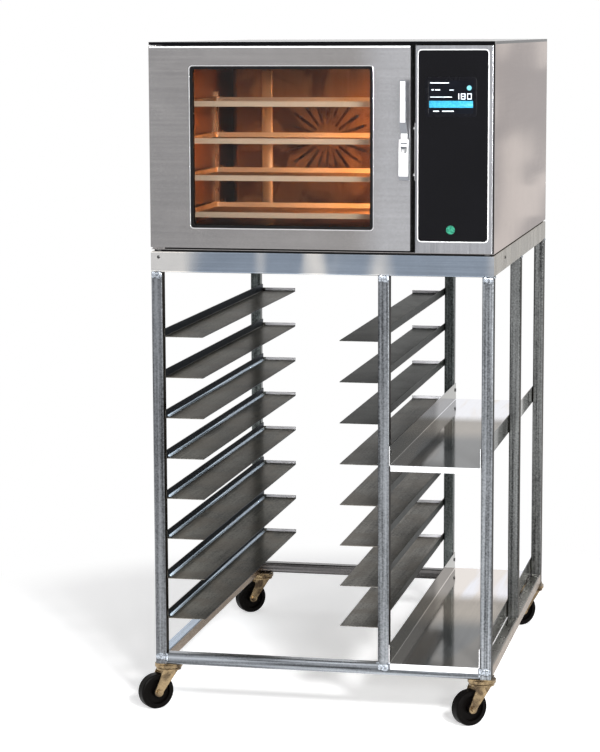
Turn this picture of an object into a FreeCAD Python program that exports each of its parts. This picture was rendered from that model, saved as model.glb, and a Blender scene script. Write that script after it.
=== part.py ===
"""Convection oven with a glazed door and a control column, on a wheeled stand for baking trays.

The frame has its origin on the floor under the middle of the stand, +Z up, with the door facing -Y.
All sizes are millimetres. Every sub-part is placed from the outer left face, the front face and the floor.
"""
import FreeCAD, Part
import math
import os
import Sketcher
from FreeCAD import Placement, Rotation, Vector

# Driving sizes, as plain numbers that the spreadsheet holds
SIZES = {
    # Stand of square tube with folded channels on top
    "tube": 32,
    "tube_wall": 2,
    "tube_corner": 4,
    "stand_sheet": 2,
    "apron_height": 58,
    "apron_flange": 40,
    # Angle runners for trays in the left bay
    "bay_room": 9,
    "slide_count": 8,
    "slide_spacing": 115,
    "slide_drop": 182,
    "slide_rise": 132,
    "slide_flange": 110,
    "slide_web": 24,
    "slide_stop": 12,
    # Shelves in the right bay
    "shelf_rise": 561,
    "shelf_flange": 55,
    "shelf_lip": 17,
    "rivet_radius": 3,
    # Swivel castors
    "castor_inset": 30,
    "castor_turn": 42,
    "castor_trail": 42,
    "castor_plate": 64,
    "plate_thickness": 4,
    "race_radius": 40,
    "race_height": 8,
    "crown_radius": 36,
    "wheel_radius": 50,
    "wheel_width": 32,
    "wheel_room": 10,
    "axle_radius": 4,
    # Oven casing of thin sheet
    "foot_height": 5,
    "foot_radius": 14,
    "sheet": 1.5,
    "roof_lip": 8,
    "roof_gap": 3,
    "roof_room": 23,
    "rear_room": 251,
    "wall_room": 4.5,
    # Door on two pivot pins
    "door_thickness": 50,
    "door_gap": 6,
    "door_lap": 12,
    "column_gap": 13,
    "hinge_plate": 3,
    "hinge_play": 1.5,
    "hinge_inset": 14,
    "hinge_pin_radius": 5,
    "window_left": 116,
    "window_right": 103,
    "window_bottom": 62,
    "window_top": 66,
    "window_border": 8,
    "pane": 4,
    # Chamber, its trays and its fan
    "chamber_floor": 48,
    "chamber_depth": 640,
    "plenum": 120,
    "insulation": 36,
    "tray_count": 4,
    "tray_spacing": 103,
    "tray_first": 83,
    "tray_width": 600,
    "tray_depth": 400,
    "tray_height": 15,
    "tray_room": 20,
    "head_room": 120,
    "fan_radius": 140,
    "fan_width": 60,
    "fan_blades": 20,
    "shaft_radius": 8,
    "heater_radius": 178,
    "heater_tube": 5,
    "motor_length": 144,
    # Control column
    "column_width": 230,
    "glass_margin": 29,
    "glass_bottom": 34,
    "glass_top": 24,
    "display_width": 121,
    "display_height": 89,
    "display_drop": 80,
    "button_radius": 12,
    "button_rise": 65,
    # Door latch with a pull lever
    "latch_width": 26,
    "latch_height": 112,
    "latch_bottom": 197,
    "latch_reach": 28,
    "grip_reach": 46,
    "grip_top": 271,
    # Services on the rear panel
    "outlet_radius": 25,
    "outlet_length": 45,
    "gland_radius": 9,
}

# Sizes worked out from the driving ones: the trays set the chamber, the chamber sets the door and the casing
FORMULAS = {
    "chamber_left": "sheet + insulation + wall_room",
    "chamber_width": "tray_width + 2 * tray_room",
    "chamber_height": "tray_first - chamber_floor + tray_spacing * (tray_count - 1) + head_room",
    "door_width": "chamber_left + chamber_width + insulation + door_lap",
    "width": "door_width + column_width",
    "chamber_back": "door_thickness + door_gap + 2 * sheet + chamber_depth + plenum + insulation",
    "depth": "chamber_back + motor_length + rear_room",
    "oven_height": "chamber_floor + chamber_height + insulation + roof_room",
    "window_width": "door_width - window_left - window_right",
    "window_height": "oven_height - window_bottom - window_top",
    "glass_width": "column_width - column_gap - glass_margin",
    "glass_height": "oven_height - glass_bottom - glass_top",
    "display_bottom": "glass_bottom + glass_height - display_drop - display_height",
    "bay_split": "tube + tray_width + bay_room",
    "post_length": "slide_drop + slide_spacing * (slide_count - 1) + slide_rise",
    "castor_height": "2 * wheel_radius + wheel_room + 2 * race_height + plate_thickness",
}

doc = FreeCAD.newDocument("ConvectionOven")
table = doc.addObject("Spreadsheet::Sheet", "Sizes")
cells = {alias: str(number) for alias, number in SIZES.items()}
cells.update({alias: "=" + formula for alias, formula in FORMULAS.items()})
for row, (alias, cell) in enumerate(cells.items(), start=1):
    table.set(f"A{row}", alias)
    table.set(f"B{row}", cell)
    table.setAlias(f"B{row}", alias)
doc.recompute()


class Size:
    """A length with both its present value and the spreadsheet expression that drives it."""

    def __init__(self, text, value):
        self.text = text
        self.value = value

    @staticmethod
    def of(other):
        """Wrap a plain number; leave a Size as it is."""
        return other if isinstance(other, Size) else Size(f"{other:.10g}", float(other))

    def __add__(self, other):
        other = Size.of(other)
        return Size(f"({self.text} + {other.text})", self.value + other.value)

    def __sub__(self, other):
        other = Size.of(other)
        return Size(f"({self.text} - {other.text})", self.value - other.value)

    def __mul__(self, other):
        other = Size.of(other)
        return Size(f"({self.text} * {other.text})", self.value * other.value)

    def __truediv__(self, other):
        other = Size.of(other)
        return Size(f"({self.text} / {other.text})", self.value / other.value)

    def __radd__(self, other):
        return Size.of(other) + self

    def __rsub__(self, other):
        return Size.of(other) - self

    def __rmul__(self, other):
        return Size.of(other) * self

    def __neg__(self):
        return self * -1


class Sheet:
    """Gives each spreadsheet alias as a Size attribute."""

    def __getattr__(self, alias):
        return Size(f"Sizes.{alias}", float(table.get(alias)))


S = Sheet()
AXIS_SIGN = {"XY_Plane": 1, "XZ_Plane": -1, "YZ_Plane": 1}


def bind(thing, path, size):
    """Drive one property of a document object from the spreadsheet."""
    thing.setExpression(path, Size.of(size).text)


def origin_feature(body, role):
    """Find one origin plane or axis of a body."""
    return next(item for item in body.Origin.OriginFeatures if item.Role == role)


def place(thing, x, y, z, turn=None):
    """Put a sub-part at x from the outer left face, y from the front face and z from the floor."""
    if turn is not None:
        thing.Placement = Placement(Vector(), Rotation(Vector(0, 0, 1), turn.value))
        bind(thing, "Placement.Rotation.Angle", turn)
    bind(thing, "Placement.Base.x", x - S.width / 2)
    bind(thing, "Placement.Base.y", y - S.depth / 2)
    bind(thing, "Placement.Base.z", z)


def new_body(label, x, y, z, turn=None):
    """Start a body whose own origin stands at the given place."""
    body = doc.addObject("PartDesign::Body", label)
    body.Label = label
    place(body, Size.of(x), Size.of(y), Size.of(z), turn)
    return body


class Profile:
    """A sketch on one origin plane of its body, lifted along that plane's positive axis."""

    def __init__(self, body, plane, lift=0):
        self.body = body
        self.plane = plane
        self.shapes = []
        self.rules = []
        self.drives = {}
        self.guides = []
        self.sketch = body.newObject("Sketcher::SketchObject", body.Name + "_sketch")
        self.sketch.AttachmentSupport = [(origin_feature(body, plane), "")]
        self.sketch.MapMode = "FlatFace"
        bind(self.sketch, "AttachmentOffset.Base.z", Size.of(lift) * AXIS_SIGN[plane])

    def add(self, shape):
        """Queue one sketch element and give its number."""
        self.shapes.append(shape)
        return len(self.shapes) - 1

    def drive(self, size, *rule):
        """Queue a dimension that the spreadsheet drives."""
        self.drives[len(self.rules)] = size
        self.rules.append(Sketcher.Constraint(*rule, size.value))

    def fix(self, kind, geometry, end, size):
        """Measure one end of a sketch element from the sketch origin."""
        self.drive(size, kind, -1, 1, geometry, end)

    def join(self, first, first_end, second, second_end):
        """Make two ends of sketch elements meet."""
        self.rules.append(Sketcher.Constraint("Coincident", first, first_end, second, second_end))

    def radius(self, geometry, size):
        """Drive the radius of an arc or circle."""
        self.drive(size, "Radius", geometry)

    def draw(self):
        """Put the queued elements and dimensions into the sketch."""
        self.sketch.addGeometry(self.shapes, False)
        for guide in self.guides:
            self.sketch.setConstruction(guide, True)
        self.sketch.addConstraint(self.rules)
        for number, size in self.drives.items():
            bind(self.sketch, f"Constraints[{number}]", size)

    def outline(self, points):
        """Draw a closed outline of (x, y) corners; (x, y, r) rounds a square corner of upright sides."""
        corners = [[Size.of(value) for value in point] for point in points]
        count = len(corners)
        entry, leave = [], []
        for index, corner in enumerate(corners):
            ends = []
            for other in (corners[index - 1], corners[(index + 1) % count]):
                along_x = other[0].value - corner[0].value
                along_y = other[1].value - corner[1].value
                length = math.hypot(along_x, along_y)
                step = (round(along_x / length), round(along_y / length))
                inset = corner[2] if len(corner) > 2 else Size.of(0)
                ends.append((corner[0] + inset * step[0], corner[1] + inset * step[1]))
            entry.append(ends[0])
            leave.append(ends[1])
        lines = []
        for index in range(count):
            start, stop = leave[index], entry[(index + 1) % count]
            ends = [Vector(end[0].value, end[1].value) for end in (start, stop)]
            lines.append(self.add(Part.LineSegment(*ends)))
        for index, corner in enumerate(corners):
            before, after = lines[index - 1], lines[index]
            self.fix("DistanceX", after, 1, leave[index][0])
            self.fix("DistanceY", after, 1, leave[index][1])
            if len(corner) == 2:
                self.join(before, 2, after, 1)
                continue
            self.fix("DistanceX", before, 2, entry[index][0])
            self.fix("DistanceY", before, 2, entry[index][1])
            self.round_corner(before, after, corner, entry[index], leave[index])
        return self

    def round_corner(self, before, after, corner, entry, leave):
        """Bridge the ends of two lines with a quarter arc."""
        centre = Vector(entry[0].value + leave[0].value - corner[0].value,
                        entry[1].value + leave[1].value - corner[1].value)
        spokes = [Vector(end[0].value, end[1].value) - centre for end in (entry, leave)]
        angles = [math.atan2(spoke.y, spoke.x) for spoke in spokes]
        clockwise = math.sin(angles[1] - angles[0]) < 0
        first, last = (angles[1], angles[0]) if clockwise else (angles[0], angles[1])
        circle = Part.Circle(centre, Vector(0, 0, 1), corner[2].value)
        arc = self.add(Part.ArcOfCircle(circle, first, last))
        self.join(before, 2, arc, 2 if clockwise else 1)
        self.join(after, 1, arc, 1 if clockwise else 2)
        self.radius(arc, corner[2])

    def rect(self, x, y, wide, high, corner=None):
        """Draw a rectangle from its lower left corner, with rounded corners if a radius is given."""
        x, y = Size.of(x), Size.of(y)
        spots = [(x, y), (x + wide, y), (x + wide, y + high), (x, y + high)]
        return self.outline([spot if corner is None else (*spot, corner) for spot in spots])

    def circle(self, x, y, radius):
        """Draw a circle."""
        x, y, radius = Size.of(x), Size.of(y), Size.of(radius)
        ring = self.add(Part.Circle(Vector(x.value, y.value), Vector(0, 0, 1), radius.value))
        self.fix("DistanceX", ring, 3, x)
        self.fix("DistanceY", ring, 3, y)
        self.radius(ring, radius)
        return self

    def hexagon(self, x, y, radius):
        """Draw a hexagon with two corners on the horizontal."""
        turns = [math.radians(60 * side) for side in range(6)]
        return self.outline([(x + radius * math.cos(turn), y + radius * math.sin(turn)) for turn in turns])

    def feature(self, kind):
        """Start a feature that uses this sketch."""
        self.draw()
        item = self.body.newObject("PartDesign::" + kind, self.body.Name + "_" + kind.lower())
        item.Profile = self.sketch
        return item

    def pad(self, length):
        """Raise the sketch along the positive axis of its plane."""
        item = self.feature("Pad")
        item.Reversed = self.plane == "XZ_Plane"
        bind(item, "Length", length)
        return item

    def cut(self, length=None):
        """Cut the sketch along the positive axis, or right through both ways if no length is given."""
        item = self.feature("Pocket")
        if length is None:
            item.Type = "ThroughAll"
            item.SideType = "Symmetric"
            return item
        item.Reversed = self.plane != "XZ_Plane"
        bind(item, "Length", length)
        return item

    def revolve(self, axis="V_Axis"):
        """Turn the sketch once around one of its own axes."""
        item = self.feature("Revolution")
        item.ReferenceAxis = (self.sketch, [axis])
        item.Angle = 360
        return item

    def axle_line(self, x):
        """Add a construction line along the sketch's vertical, to turn a profile around."""
        x = Size.of(x)
        line = self.add(Part.LineSegment(Vector(x.value, -10), Vector(x.value, 10)))
        self.guides.append(line)
        self.fix("DistanceX", line, 1, x)
        self.fix("DistanceX", line, 2, x)
        self.fix("DistanceY", line, 1, Size.of(-10))
        self.fix("DistanceY", line, 2, Size.of(10))
        return self


def whole_body(body, kind):
    """Start a pattern or mirror that repeats all of a body."""
    item = body.newObject("PartDesign::" + kind, body.Name + "_" + kind.lower())
    item.TransformMode = item.getEnumerationsOfProperty("TransformMode")[1]
    body.Tip = item
    return item


def repeat(body, axis, span, count):
    """Repeat a body along one of its own axes."""
    item = whole_body(body, "LinearPattern")
    item.Direction = (origin_feature(body, axis), [""])
    bind(item, "Length", span)
    bind(item, "Occurrences", count)


def mirror(body, plane):
    """Mirror a body in one of its own planes."""
    item = whole_body(body, "Mirrored")
    item.MirrorPlane = (origin_feature(body, plane), [""])


def ring(body, features, axis, count):
    """Repeat features around one axis of their body."""
    item = body.newObject("PartDesign::PolarPattern", body.Name + "_ring")
    item.Originals = features
    item.Axis = (origin_feature(body, axis), [""])
    item.Angle = 360
    bind(item, "Occurrences", count)
    body.Tip = item


def stack(body, features, axis, span, count):
    """Repeat features along one axis of their body."""
    item = body.newObject("PartDesign::LinearPattern", body.Name + "_stack")
    item.Originals = features
    item.Direction = (origin_feature(body, axis), [""])
    bind(item, "Length", span)
    bind(item, "Occurrences", count)
    body.Tip = item


nodes = []


def node(thing):
    """Keep a finished sub-part for writing."""
    nodes.append(thing)
    return thing


def group(label, pieces):
    """Join separate solids into one sub-part."""
    bundle = doc.addObject("Part::Compound", label)
    bundle.Label = label
    bundle.Links = pieces
    return node(bundle)


# Levels and lines that several sub-parts share
PLAY = 0.05
CLEAR = 0.3
rail_top = S.castor_height + S.tube
apron_bottom = S.castor_height + S.post_length
apron_top = apron_bottom + S.apron_height
oven_base = apron_top + S.foot_height
oven_top = oven_base + S.oven_height
panel_top = oven_top - S.roof_lip
door_top = panel_top - S.roof_gap
hinge_seat = oven_base + S.sheet
door_bottom = hinge_seat + S.hinge_plate + S.hinge_play
door_height = door_top - door_bottom
body_front = S.door_thickness + S.door_gap
column_left = S.door_width + S.column_gap
liner_front = body_front + S.sheet
baffle_front = liner_front + S.chamber_depth
liner_back = baffle_front + S.plenum
chamber_middle = S.chamber_left + S.chamber_width / 2
chamber_base = oven_base + S.chamber_floor
fan_height = chamber_base + S.chamber_height / 2
motor_front = liner_back + S.sheet + S.insulation


# Stand frame of square tube
SECTION = {"X": "YZ_Plane", "Y": "XZ_Plane", "Z": "XY_Plane"}


def square_tube(label, along, length, x, y, z):
    """A square tube with rounded corners that starts at the given place."""
    body = new_body(label, x, y, z)
    inner = S.tube - 2 * S.tube_wall
    section = Profile(body, SECTION[along])
    section.rect(0, 0, S.tube, S.tube, S.tube_corner)
    section.rect(S.tube_wall, S.tube_wall, inner, inner, S.tube_corner / 2)
    section.pad(length)
    return node(body)


right_line = S.width - S.tube
rear_line = S.depth - S.tube
for label, x, y in (("front_left_post", 0, 0), ("front_right_post", right_line, 0),
                    ("rear_left_post", 0, rear_line), ("rear_right_post", right_line, rear_line)):
    square_tube(label, "Z", S.post_length, x, y, S.castor_height)
for label, x, y in (("front_mid_post", S.bay_split, 0), ("rear_mid_post", S.bay_split, rear_line),
                    ("side_mid_post", right_line, S.depth / 2 - S.tube / 2)):
    square_tube(label, "Z", S.post_length - S.tube, x, y, rail_top)
cross_rails = square_tube("cross_rails", "X", S.width - 2 * S.tube, S.tube, 0, S.castor_height)
repeat(cross_rails, "Y_Axis", rear_line, 2)
side_rails = square_tube("side_rails", "Y", S.depth - 2 * S.tube, 0, S.tube, S.castor_height)
repeat(side_rails, "X_Axis", right_line, 2)


def aprons(label, plane, half_span, half_length, mirror_plane, order):
    """Two facing channels with mitred ends, drawn from the middle of the stand."""
    body = new_body(label, S.width / 2, S.depth / 2, apron_bottom)
    skin, bend = S.stand_sheet, S.stand_sheet * 2
    inner = S.apron_flange - half_span
    section = Profile(body, plane, -half_length)
    section.outline([(-half_span, 0, bend), (inner, 0), (inner, skin), (skin - half_span, skin, skin),
                     (skin - half_span, S.apron_height - skin, skin), (inner, S.apron_height - skin),
                     (inner, S.apron_height), (-half_span, S.apron_height, bend)])
    section.pad(2 * half_length)
    for side in (-1, 1):
        reach = S.apron_flange + 1
        tip = (half_length * side, -half_span)
        corners = [tip, (half_length * side, reach - half_span),
                   ((half_length - reach) * side, reach - half_span)]
        Profile(body, "XY_Plane").outline([order(*corner) for corner in corners]).cut()
    mirror(body, mirror_plane)
    return node(body)


aprons("cross_aprons", "YZ_Plane", S.depth / 2, S.width / 2, "XZ_Plane",
       lambda along, across: (along, across))
aprons("side_aprons", "XZ_Plane", S.width / 2, S.depth / 2, "YZ_Plane",
       lambda along, across: (across, along))


# Angle runners with a web on the posts and a turned-up stop at the rear
def pan_slides(label, x, toward):
    """A column of runners; toward is 1 where the flange points right and -1 where it points left."""
    lowest = apron_bottom - S.slide_drop - S.slide_spacing * (S.slide_count - 1) - S.stand_sheet
    body = new_body(label, x, S.tube / 2, lowest)
    skin, length = S.stand_sheet, S.depth - S.tube / 2
    edge = S.slide_flange * toward
    Profile(body, "XZ_Plane").outline([
        (0, 0, skin * 2), (edge, 0), (edge, skin), (skin * toward, skin, skin), (skin * toward, S.slide_web),
        (0, S.slide_web)]).pad(length)
    Profile(body, "XZ_Plane", length - skin).outline([
        (skin * toward, skin / 2), (edge, skin / 2), (edge, S.slide_stop),
        (skin * toward, S.slide_stop)]).pad(skin)
    repeat(body, "Z_Axis", S.slide_spacing * (S.slide_count - 1), S.slide_count)
    return node(body)


pan_slides("left_pan_slides", S.tube, 1)
pan_slides("right_pan_slides", S.bay_split, -1)


# Shelves between the middle and the right posts
shelf_left = S.bay_split + S.tube
shelf_width = right_line - shelf_left
rivet_lines = (S.tube / 2, S.depth - S.tube / 2)
rivet_rise = S.shelf_flange * 0.6


def shelf(label, z):
    """A folded tray with two side flanges and a front lip turned down."""
    body = new_body(label, shelf_left, -S.stand_sheet, z)
    skin, bend = S.stand_sheet, S.stand_sheet * 2
    far = shelf_width - skin
    Profile(body, "XZ_Plane").outline([
        (0, 0, bend), (shelf_width, 0, bend), (shelf_width, S.shelf_flange), (far, S.shelf_flange),
        (far, skin, skin), (skin, skin, skin), (skin, S.shelf_flange),
        (0, S.shelf_flange)]).pad(S.depth + skin)
    Profile(body, "XZ_Plane").rect(bend, skin - S.shelf_lip, shelf_width - 2 * bend, S.shelf_lip).pad(skin)
    holes = Profile(body, "YZ_Plane")
    for line in rivet_lines:
        holes.circle(line + skin, rivet_rise, S.rivet_radius + PLAY)
    holes.cut()
    return node(body)


shelf_levels = (rail_top, rail_top + S.shelf_rise)
shelf("lower_shelf", shelf_levels[0])
shelf("upper_shelf", shelf_levels[1])


def shelf_rivets():
    """Rivets through the shelf flanges at the four corners of each shelf."""
    body = new_body("shelf_rivets", shelf_left, 0, 0)
    skin, head = S.stand_sheet, S.rivet_radius * 0.8
    for lift, length, radius in ((0, skin + head / 2, S.rivet_radius), (skin, head, S.rivet_radius * 1.8),
                                 (shelf_width - skin - head / 2, skin + head / 2, S.rivet_radius),
                                 (shelf_width - skin - head, head, S.rivet_radius * 1.8)):
        spots = Profile(body, "YZ_Plane", lift)
        for line in rivet_lines:
            for level in shelf_levels:
                spots.circle(line, level + rivet_rise, radius)
        spots.pad(length)
    return node(body)


shelf_rivets()

# Castors: fixed plates, then a swivelling fork with its axle bolt and a wheel at each corner
castor_spots = {
    "front_left": (S.castor_inset, S.castor_inset),
    "front_right": (S.width - S.castor_inset, S.castor_inset),
    "rear_left": (S.castor_inset, S.depth - S.castor_inset),
    "rear_right": (S.width - S.castor_inset, S.depth - S.castor_inset),
}
plate_base = S.castor_height - S.plate_thickness
race_base = plate_base - S.race_height
king_radius = S.axle_radius * 1.5
crown_top = race_base - CLEAR
crown_base = crown_top - S.race_height
leg_gap = S.wheel_width * 0.1
leg_skin = S.plate_thickness * 0.75
half_fork = S.wheel_width / 2 + leg_gap


def castor_plates():
    """Four square plates with the upper ball races under them."""
    body = new_body("castor_plates", 0, 0, 0)
    plates = Profile(body, "XY_Plane", plate_base)
    races = Profile(body, "XY_Plane", race_base)
    for x, y in castor_spots.values():
        half = S.castor_plate / 2
        plates.rect(x - half, y - half, S.castor_plate, S.castor_plate, S.tube_corner)
        races.circle(x, y, S.race_radius)
        races.circle(x, y, king_radius + PLAY)
    plates.pad(S.plate_thickness)
    races.pad(S.race_height)
    return node(body)


def castor_fork(corner, x, y):
    """A pressed yoke: crown with king pin, and two raked legs down to the axle."""
    body = new_body(f"{corner}_yoke", x, y, 0, S.castor_turn)
    boss = S.axle_radius * 3.4
    lip = S.race_height * 0.4
    Profile(body, "XZ_Plane").outline([
        (0, crown_base), (S.crown_radius, crown_base), (S.crown_radius, crown_top - lip),
        (S.crown_radius - lip, crown_top), (king_radius, crown_top), (king_radius, plate_base - CLEAR),
        (0, plate_base - CLEAR)]).revolve()
    for side in (-1, 1):
        lift = half_fork if side > 0 else -half_fork - leg_skin
        Profile(body, "XZ_Plane", lift).outline([
            (S.crown_radius * -0.8, crown_base + 2), (-S.castor_trail - boss, S.wheel_radius),
            (-S.castor_trail + boss, S.wheel_radius), (S.crown_radius * 0.6, crown_base + 2)]).pad(leg_skin)
        Profile(body, "XZ_Plane", lift).circle(-S.castor_trail, S.wheel_radius, boss).pad(leg_skin)
    Profile(body, "XZ_Plane").circle(-S.castor_trail, S.wheel_radius, S.axle_radius + PLAY).cut()
    return body


def castor_axle(corner, x, y):
    """The axle bolt with its head and nut outside the fork legs."""
    body = new_body(f"{corner}_axle", x, y, 0, S.castor_turn)
    outside = half_fork + leg_skin
    head = S.axle_radius * 1.2
    Profile(body, "XZ_Plane", -outside - head / 2).circle(
        -S.castor_trail, S.wheel_radius, S.axle_radius).pad(2 * outside + head)
    for lift in (-outside - head, outside):
        Profile(body, "XZ_Plane", lift).hexagon(
            -S.castor_trail, S.wheel_radius, S.axle_radius * 1.9).pad(head)
    return body


def castor_wheel(corner, x, y):
    """A moulded wheel: hub, thin web and rounded tread, turned about its axle."""
    body = new_body(f"{corner}_wheel", x, y, 0, S.castor_turn)
    half, rim = S.wheel_width / 2, S.wheel_radius * 0.72
    hub, bore = S.wheel_radius * 0.3, S.axle_radius + PLAY
    web, side = S.wheel_width * 0.2, half + leg_gap * 0.75
    crown = S.wheel_width * 0.14
    half_profile = [(bore, side), (hub, side), (hub, web), (rim, web), (rim, half),
                    (S.wheel_radius - crown, half), (S.wheel_radius - crown * 0.3, half - crown * 0.3),
                    (S.wheel_radius, half - crown)]
    points = [(r, -y) for r, y in half_profile] + [(r, y) for r, y in reversed(half_profile)]
    section = Profile(body, "XY_Plane", S.wheel_radius).axle_line(-S.castor_trail)
    section.outline([(r - S.castor_trail, y) for r, y in points]).revolve("Axis0")
    return node(body)


castor_plates()
for corner, spot in castor_spots.items():
    group(f"{corner}_fork", [castor_fork(corner, *spot), castor_axle(corner, *spot)])
    castor_wheel(corner, *spot)


# Oven casing
def oven_feet():
    """Rubber pads between the aprons and the base pan."""
    body = new_body("oven_feet", 0, 0, apron_top)
    pads = Profile(body, "XY_Plane")
    edge = S.apron_flange / 2
    for x in (edge, S.width - edge):
        for y in (edge, S.depth - edge):
            pads.circle(x, y, S.foot_radius)
    pads.pad(S.foot_height)
    return node(body)


def base_pan():
    """The floor of the casing with side flanges turned up behind the door line."""
    body = new_body("base_pan", S.sheet, S.sheet, oven_base)
    wide, length = S.width - 2 * S.sheet, S.depth - 3 * S.sheet
    rise = S.roof_lip * 2.5
    Profile(body, "XY_Plane").rect(0, 0, wide, length).pad(S.sheet)
    for x in (0, wide - S.sheet):
        Profile(body, "XY_Plane").rect(x, body_front, S.sheet, length - body_front).pad(rise)
    return node(body)


def roof_panel():
    """A shallow lid with a lip turned down all round."""
    body = new_body("roof_panel", 0, 0, panel_top)
    Profile(body, "XY_Plane").rect(0, 0, S.width, S.depth, S.sheet * 2).pad(S.roof_lip)
    wide, long = S.width - 2 * S.sheet, S.depth - 2 * S.sheet
    Profile(body, "XY_Plane").rect(S.sheet, S.sheet, wide, long, S.sheet).cut(S.roof_lip - S.sheet)
    return node(body)


def side_panel(label, x, front, inward):
    """A side sheet with a flange folded in at the rear."""
    body = new_body(label, x, 0, oven_base)
    rear = S.depth - S.sheet
    skin, fold = S.sheet * inward, S.sheet * inward * 12
    Profile(body, "XY_Plane").outline([
        (0, front), (skin, front), (skin, rear - S.sheet, S.sheet), (fold, rear - S.sheet), (fold, rear),
        (0, rear, S.sheet * 2)]).pad(S.oven_height - S.roof_lip)
    return node(body)


def rear_panel():
    """The back sheet with two columns of cooling slots and the holes for the services."""
    body = new_body("rear_panel", 0, S.depth - S.sheet, oven_base)
    Profile(body, "XZ_Plane").rect(0, 0, S.width, S.oven_height - S.roof_lip, S.sheet * 2).pad(S.sheet)
    Profile(body, "XZ_Plane").circle(outlet_x, outlet_rise, S.outlet_radius * 0.88).circle(
        gland_x, gland_rise, S.gland_radius).cut()
    slots = Profile(body, "XZ_Plane")
    for column in (0.32, 0.52):
        slots.rect(S.width * column, S.oven_height * 0.3, S.width * 0.16, S.roof_lip, S.roof_lip * 0.45)
    stack(body, [slots.cut()], "Z_Axis", S.oven_height * 0.36, 9)
    return node(body)


outlet_x, outlet_rise = S.width * 0.16, S.oven_height * 0.78
gland_x, gland_rise = S.width * 0.88, S.oven_height * 0.14


def front_frame():
    """The face behind the door, with the mouth of the chamber cut in it."""
    body = new_body("front_frame", S.sheet, body_front, hinge_seat)
    wide, high = column_left + S.column_gap - S.sheet, S.oven_height - 2 * S.sheet
    Profile(body, "XZ_Plane").rect(0, 0, wide, high).pad(S.sheet)
    Profile(body, "XZ_Plane").rect(S.chamber_left - S.sheet, S.chamber_floor - S.sheet, S.chamber_width,
                                   S.chamber_height).cut()
    return node(body)


oven_feet()
base_pan()
roof_panel()
side_panel("left_side_panel", 0, body_front, 1)
side_panel("right_side_panel", S.width, S.sheet, -1)
rear_panel()
front_frame()


# Chamber
def chamber_box(label, wall, floor_wall, back_wall, inner_wall, holes):
    """An open-fronted box round the chamber, with holes in its back for the shaft and the heater legs."""
    body = new_body(label, chamber_middle, liner_front, fan_height)
    wide, high, long = S.chamber_width, S.chamber_height, liner_back - liner_front
    Profile(body, "XZ_Plane").rect(-wide / 2 - wall, -high / 2 - floor_wall, wide + 2 * wall,
                                   high + floor_wall + wall).pad(long + back_wall)
    Profile(body, "XZ_Plane").rect(-wide / 2 - inner_wall, -high / 2 - inner_wall, wide + 2 * inner_wall,
                                   high + 2 * inner_wall).cut(long + inner_wall)
    back = Profile(body, "XZ_Plane").circle(0, 0, holes[0])
    for side in (-1, 1):
        back.circle(heater_leg_x * side, heater_leg_z, holes[1])
    back.cut()
    return node(body)


heater_leg_x = S.heater_radius * math.sin(math.radians(10))
heater_leg_z = S.heater_radius * -math.cos(math.radians(10))
chamber_box("cavity_liner", S.sheet, S.sheet, S.sheet, 0, (S.shaft_radius + 1, S.heater_tube + 1))
chamber_box("insulation_jacket", S.insulation, S.chamber_floor - S.sheet, S.sheet + S.insulation, S.sheet,
            (S.shaft_radius + 2, S.heater_tube + 2))


def fan_baffle():
    """A folded sheet in front of the fan with a ring of suction slots and air gaps at both sides."""
    body = new_body("fan_baffle", chamber_middle, baffle_front, fan_height)
    half, turn = S.chamber_width * 0.44, S.plenum * 0.25
    Profile(body, "XY_Plane", -S.chamber_height / 2).outline([
        (-half, 0, S.sheet * 2), (half, 0, S.sheet * 2), (half, turn), (half - S.sheet, turn),
        (half - S.sheet, S.sheet, S.sheet), (S.sheet - half, S.sheet, S.sheet), (S.sheet - half, turn),
        (-half, turn)]).pad(S.chamber_height)
    slot = Profile(body, "XZ_Plane").rect(S.fan_radius * 0.3, -S.fan_radius * 0.03, S.fan_radius * 0.6,
                                          S.fan_radius * 0.06, S.fan_radius * 0.025).cut()
    ring(body, [slot], "Y_Axis", S.fan_blades)
    return node(body)


def fan_wheel():
    """A centrifugal wheel: back disc, hub, a ring of blades and a front shroud ring."""
    body = new_body("fan_wheel", chamber_middle, baffle_front + S.plenum * 0.2, fan_height)
    skin = S.sheet
    Profile(body, "XZ_Plane", S.fan_width - skin).circle(0, 0, S.fan_radius).circle(
        0, 0, S.shaft_radius + PLAY).pad(skin)
    Profile(body, "XZ_Plane", S.fan_width * 0.4).circle(0, 0, S.shaft_radius * 2.4).circle(
        0, 0, S.shaft_radius + PLAY).pad(S.fan_width * 0.6)
    Profile(body, "XZ_Plane").circle(0, 0, S.fan_radius).circle(0, 0, S.fan_radius * 0.8).pad(skin)
    root, tip = S.fan_radius * 0.72, S.fan_radius * 0.98
    lean, thick = S.fan_radius * 0.12, S.fan_radius * 0.015
    blade = Profile(body, "XZ_Plane").outline([
        (root, 0), (tip, lean), (tip, lean + thick), (root, thick)]).pad(S.fan_width)
    ring(body, [blade], "Y_Axis", S.fan_blades)
    return node(body)


def fan_shaft():
    """The motor shaft from the fan wheel into the motor."""
    front = baffle_front + S.plenum * 0.2
    body = new_body("fan_shaft", chamber_middle, front, fan_height)
    Profile(body, "XZ_Plane").circle(0, 0, S.shaft_radius).pad(motor_front - front + S.shaft_radius * 7)
    return node(body)


def fan_motor():
    """The motor: mounting flange, round housing and a blind bore for the shaft."""
    body = new_body("fan_motor", chamber_middle, motor_front, fan_height)
    bore, flange, can = S.shaft_radius + PLAY, S.fan_radius * 0.6, S.fan_radius * 0.5
    length, skin = S.motor_length, S.sheet * 3
    section = Profile(body, "XY_Plane")
    section.outline([(bore, 0), (flange, 0), (flange, skin), (can, skin), (can, length - skin * 2),
                     (can - skin * 2, length), (0, length), (0, S.shaft_radius * 8),
                     (bore, S.shaft_radius * 8)])
    section.revolve()
    return node(body)


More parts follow.
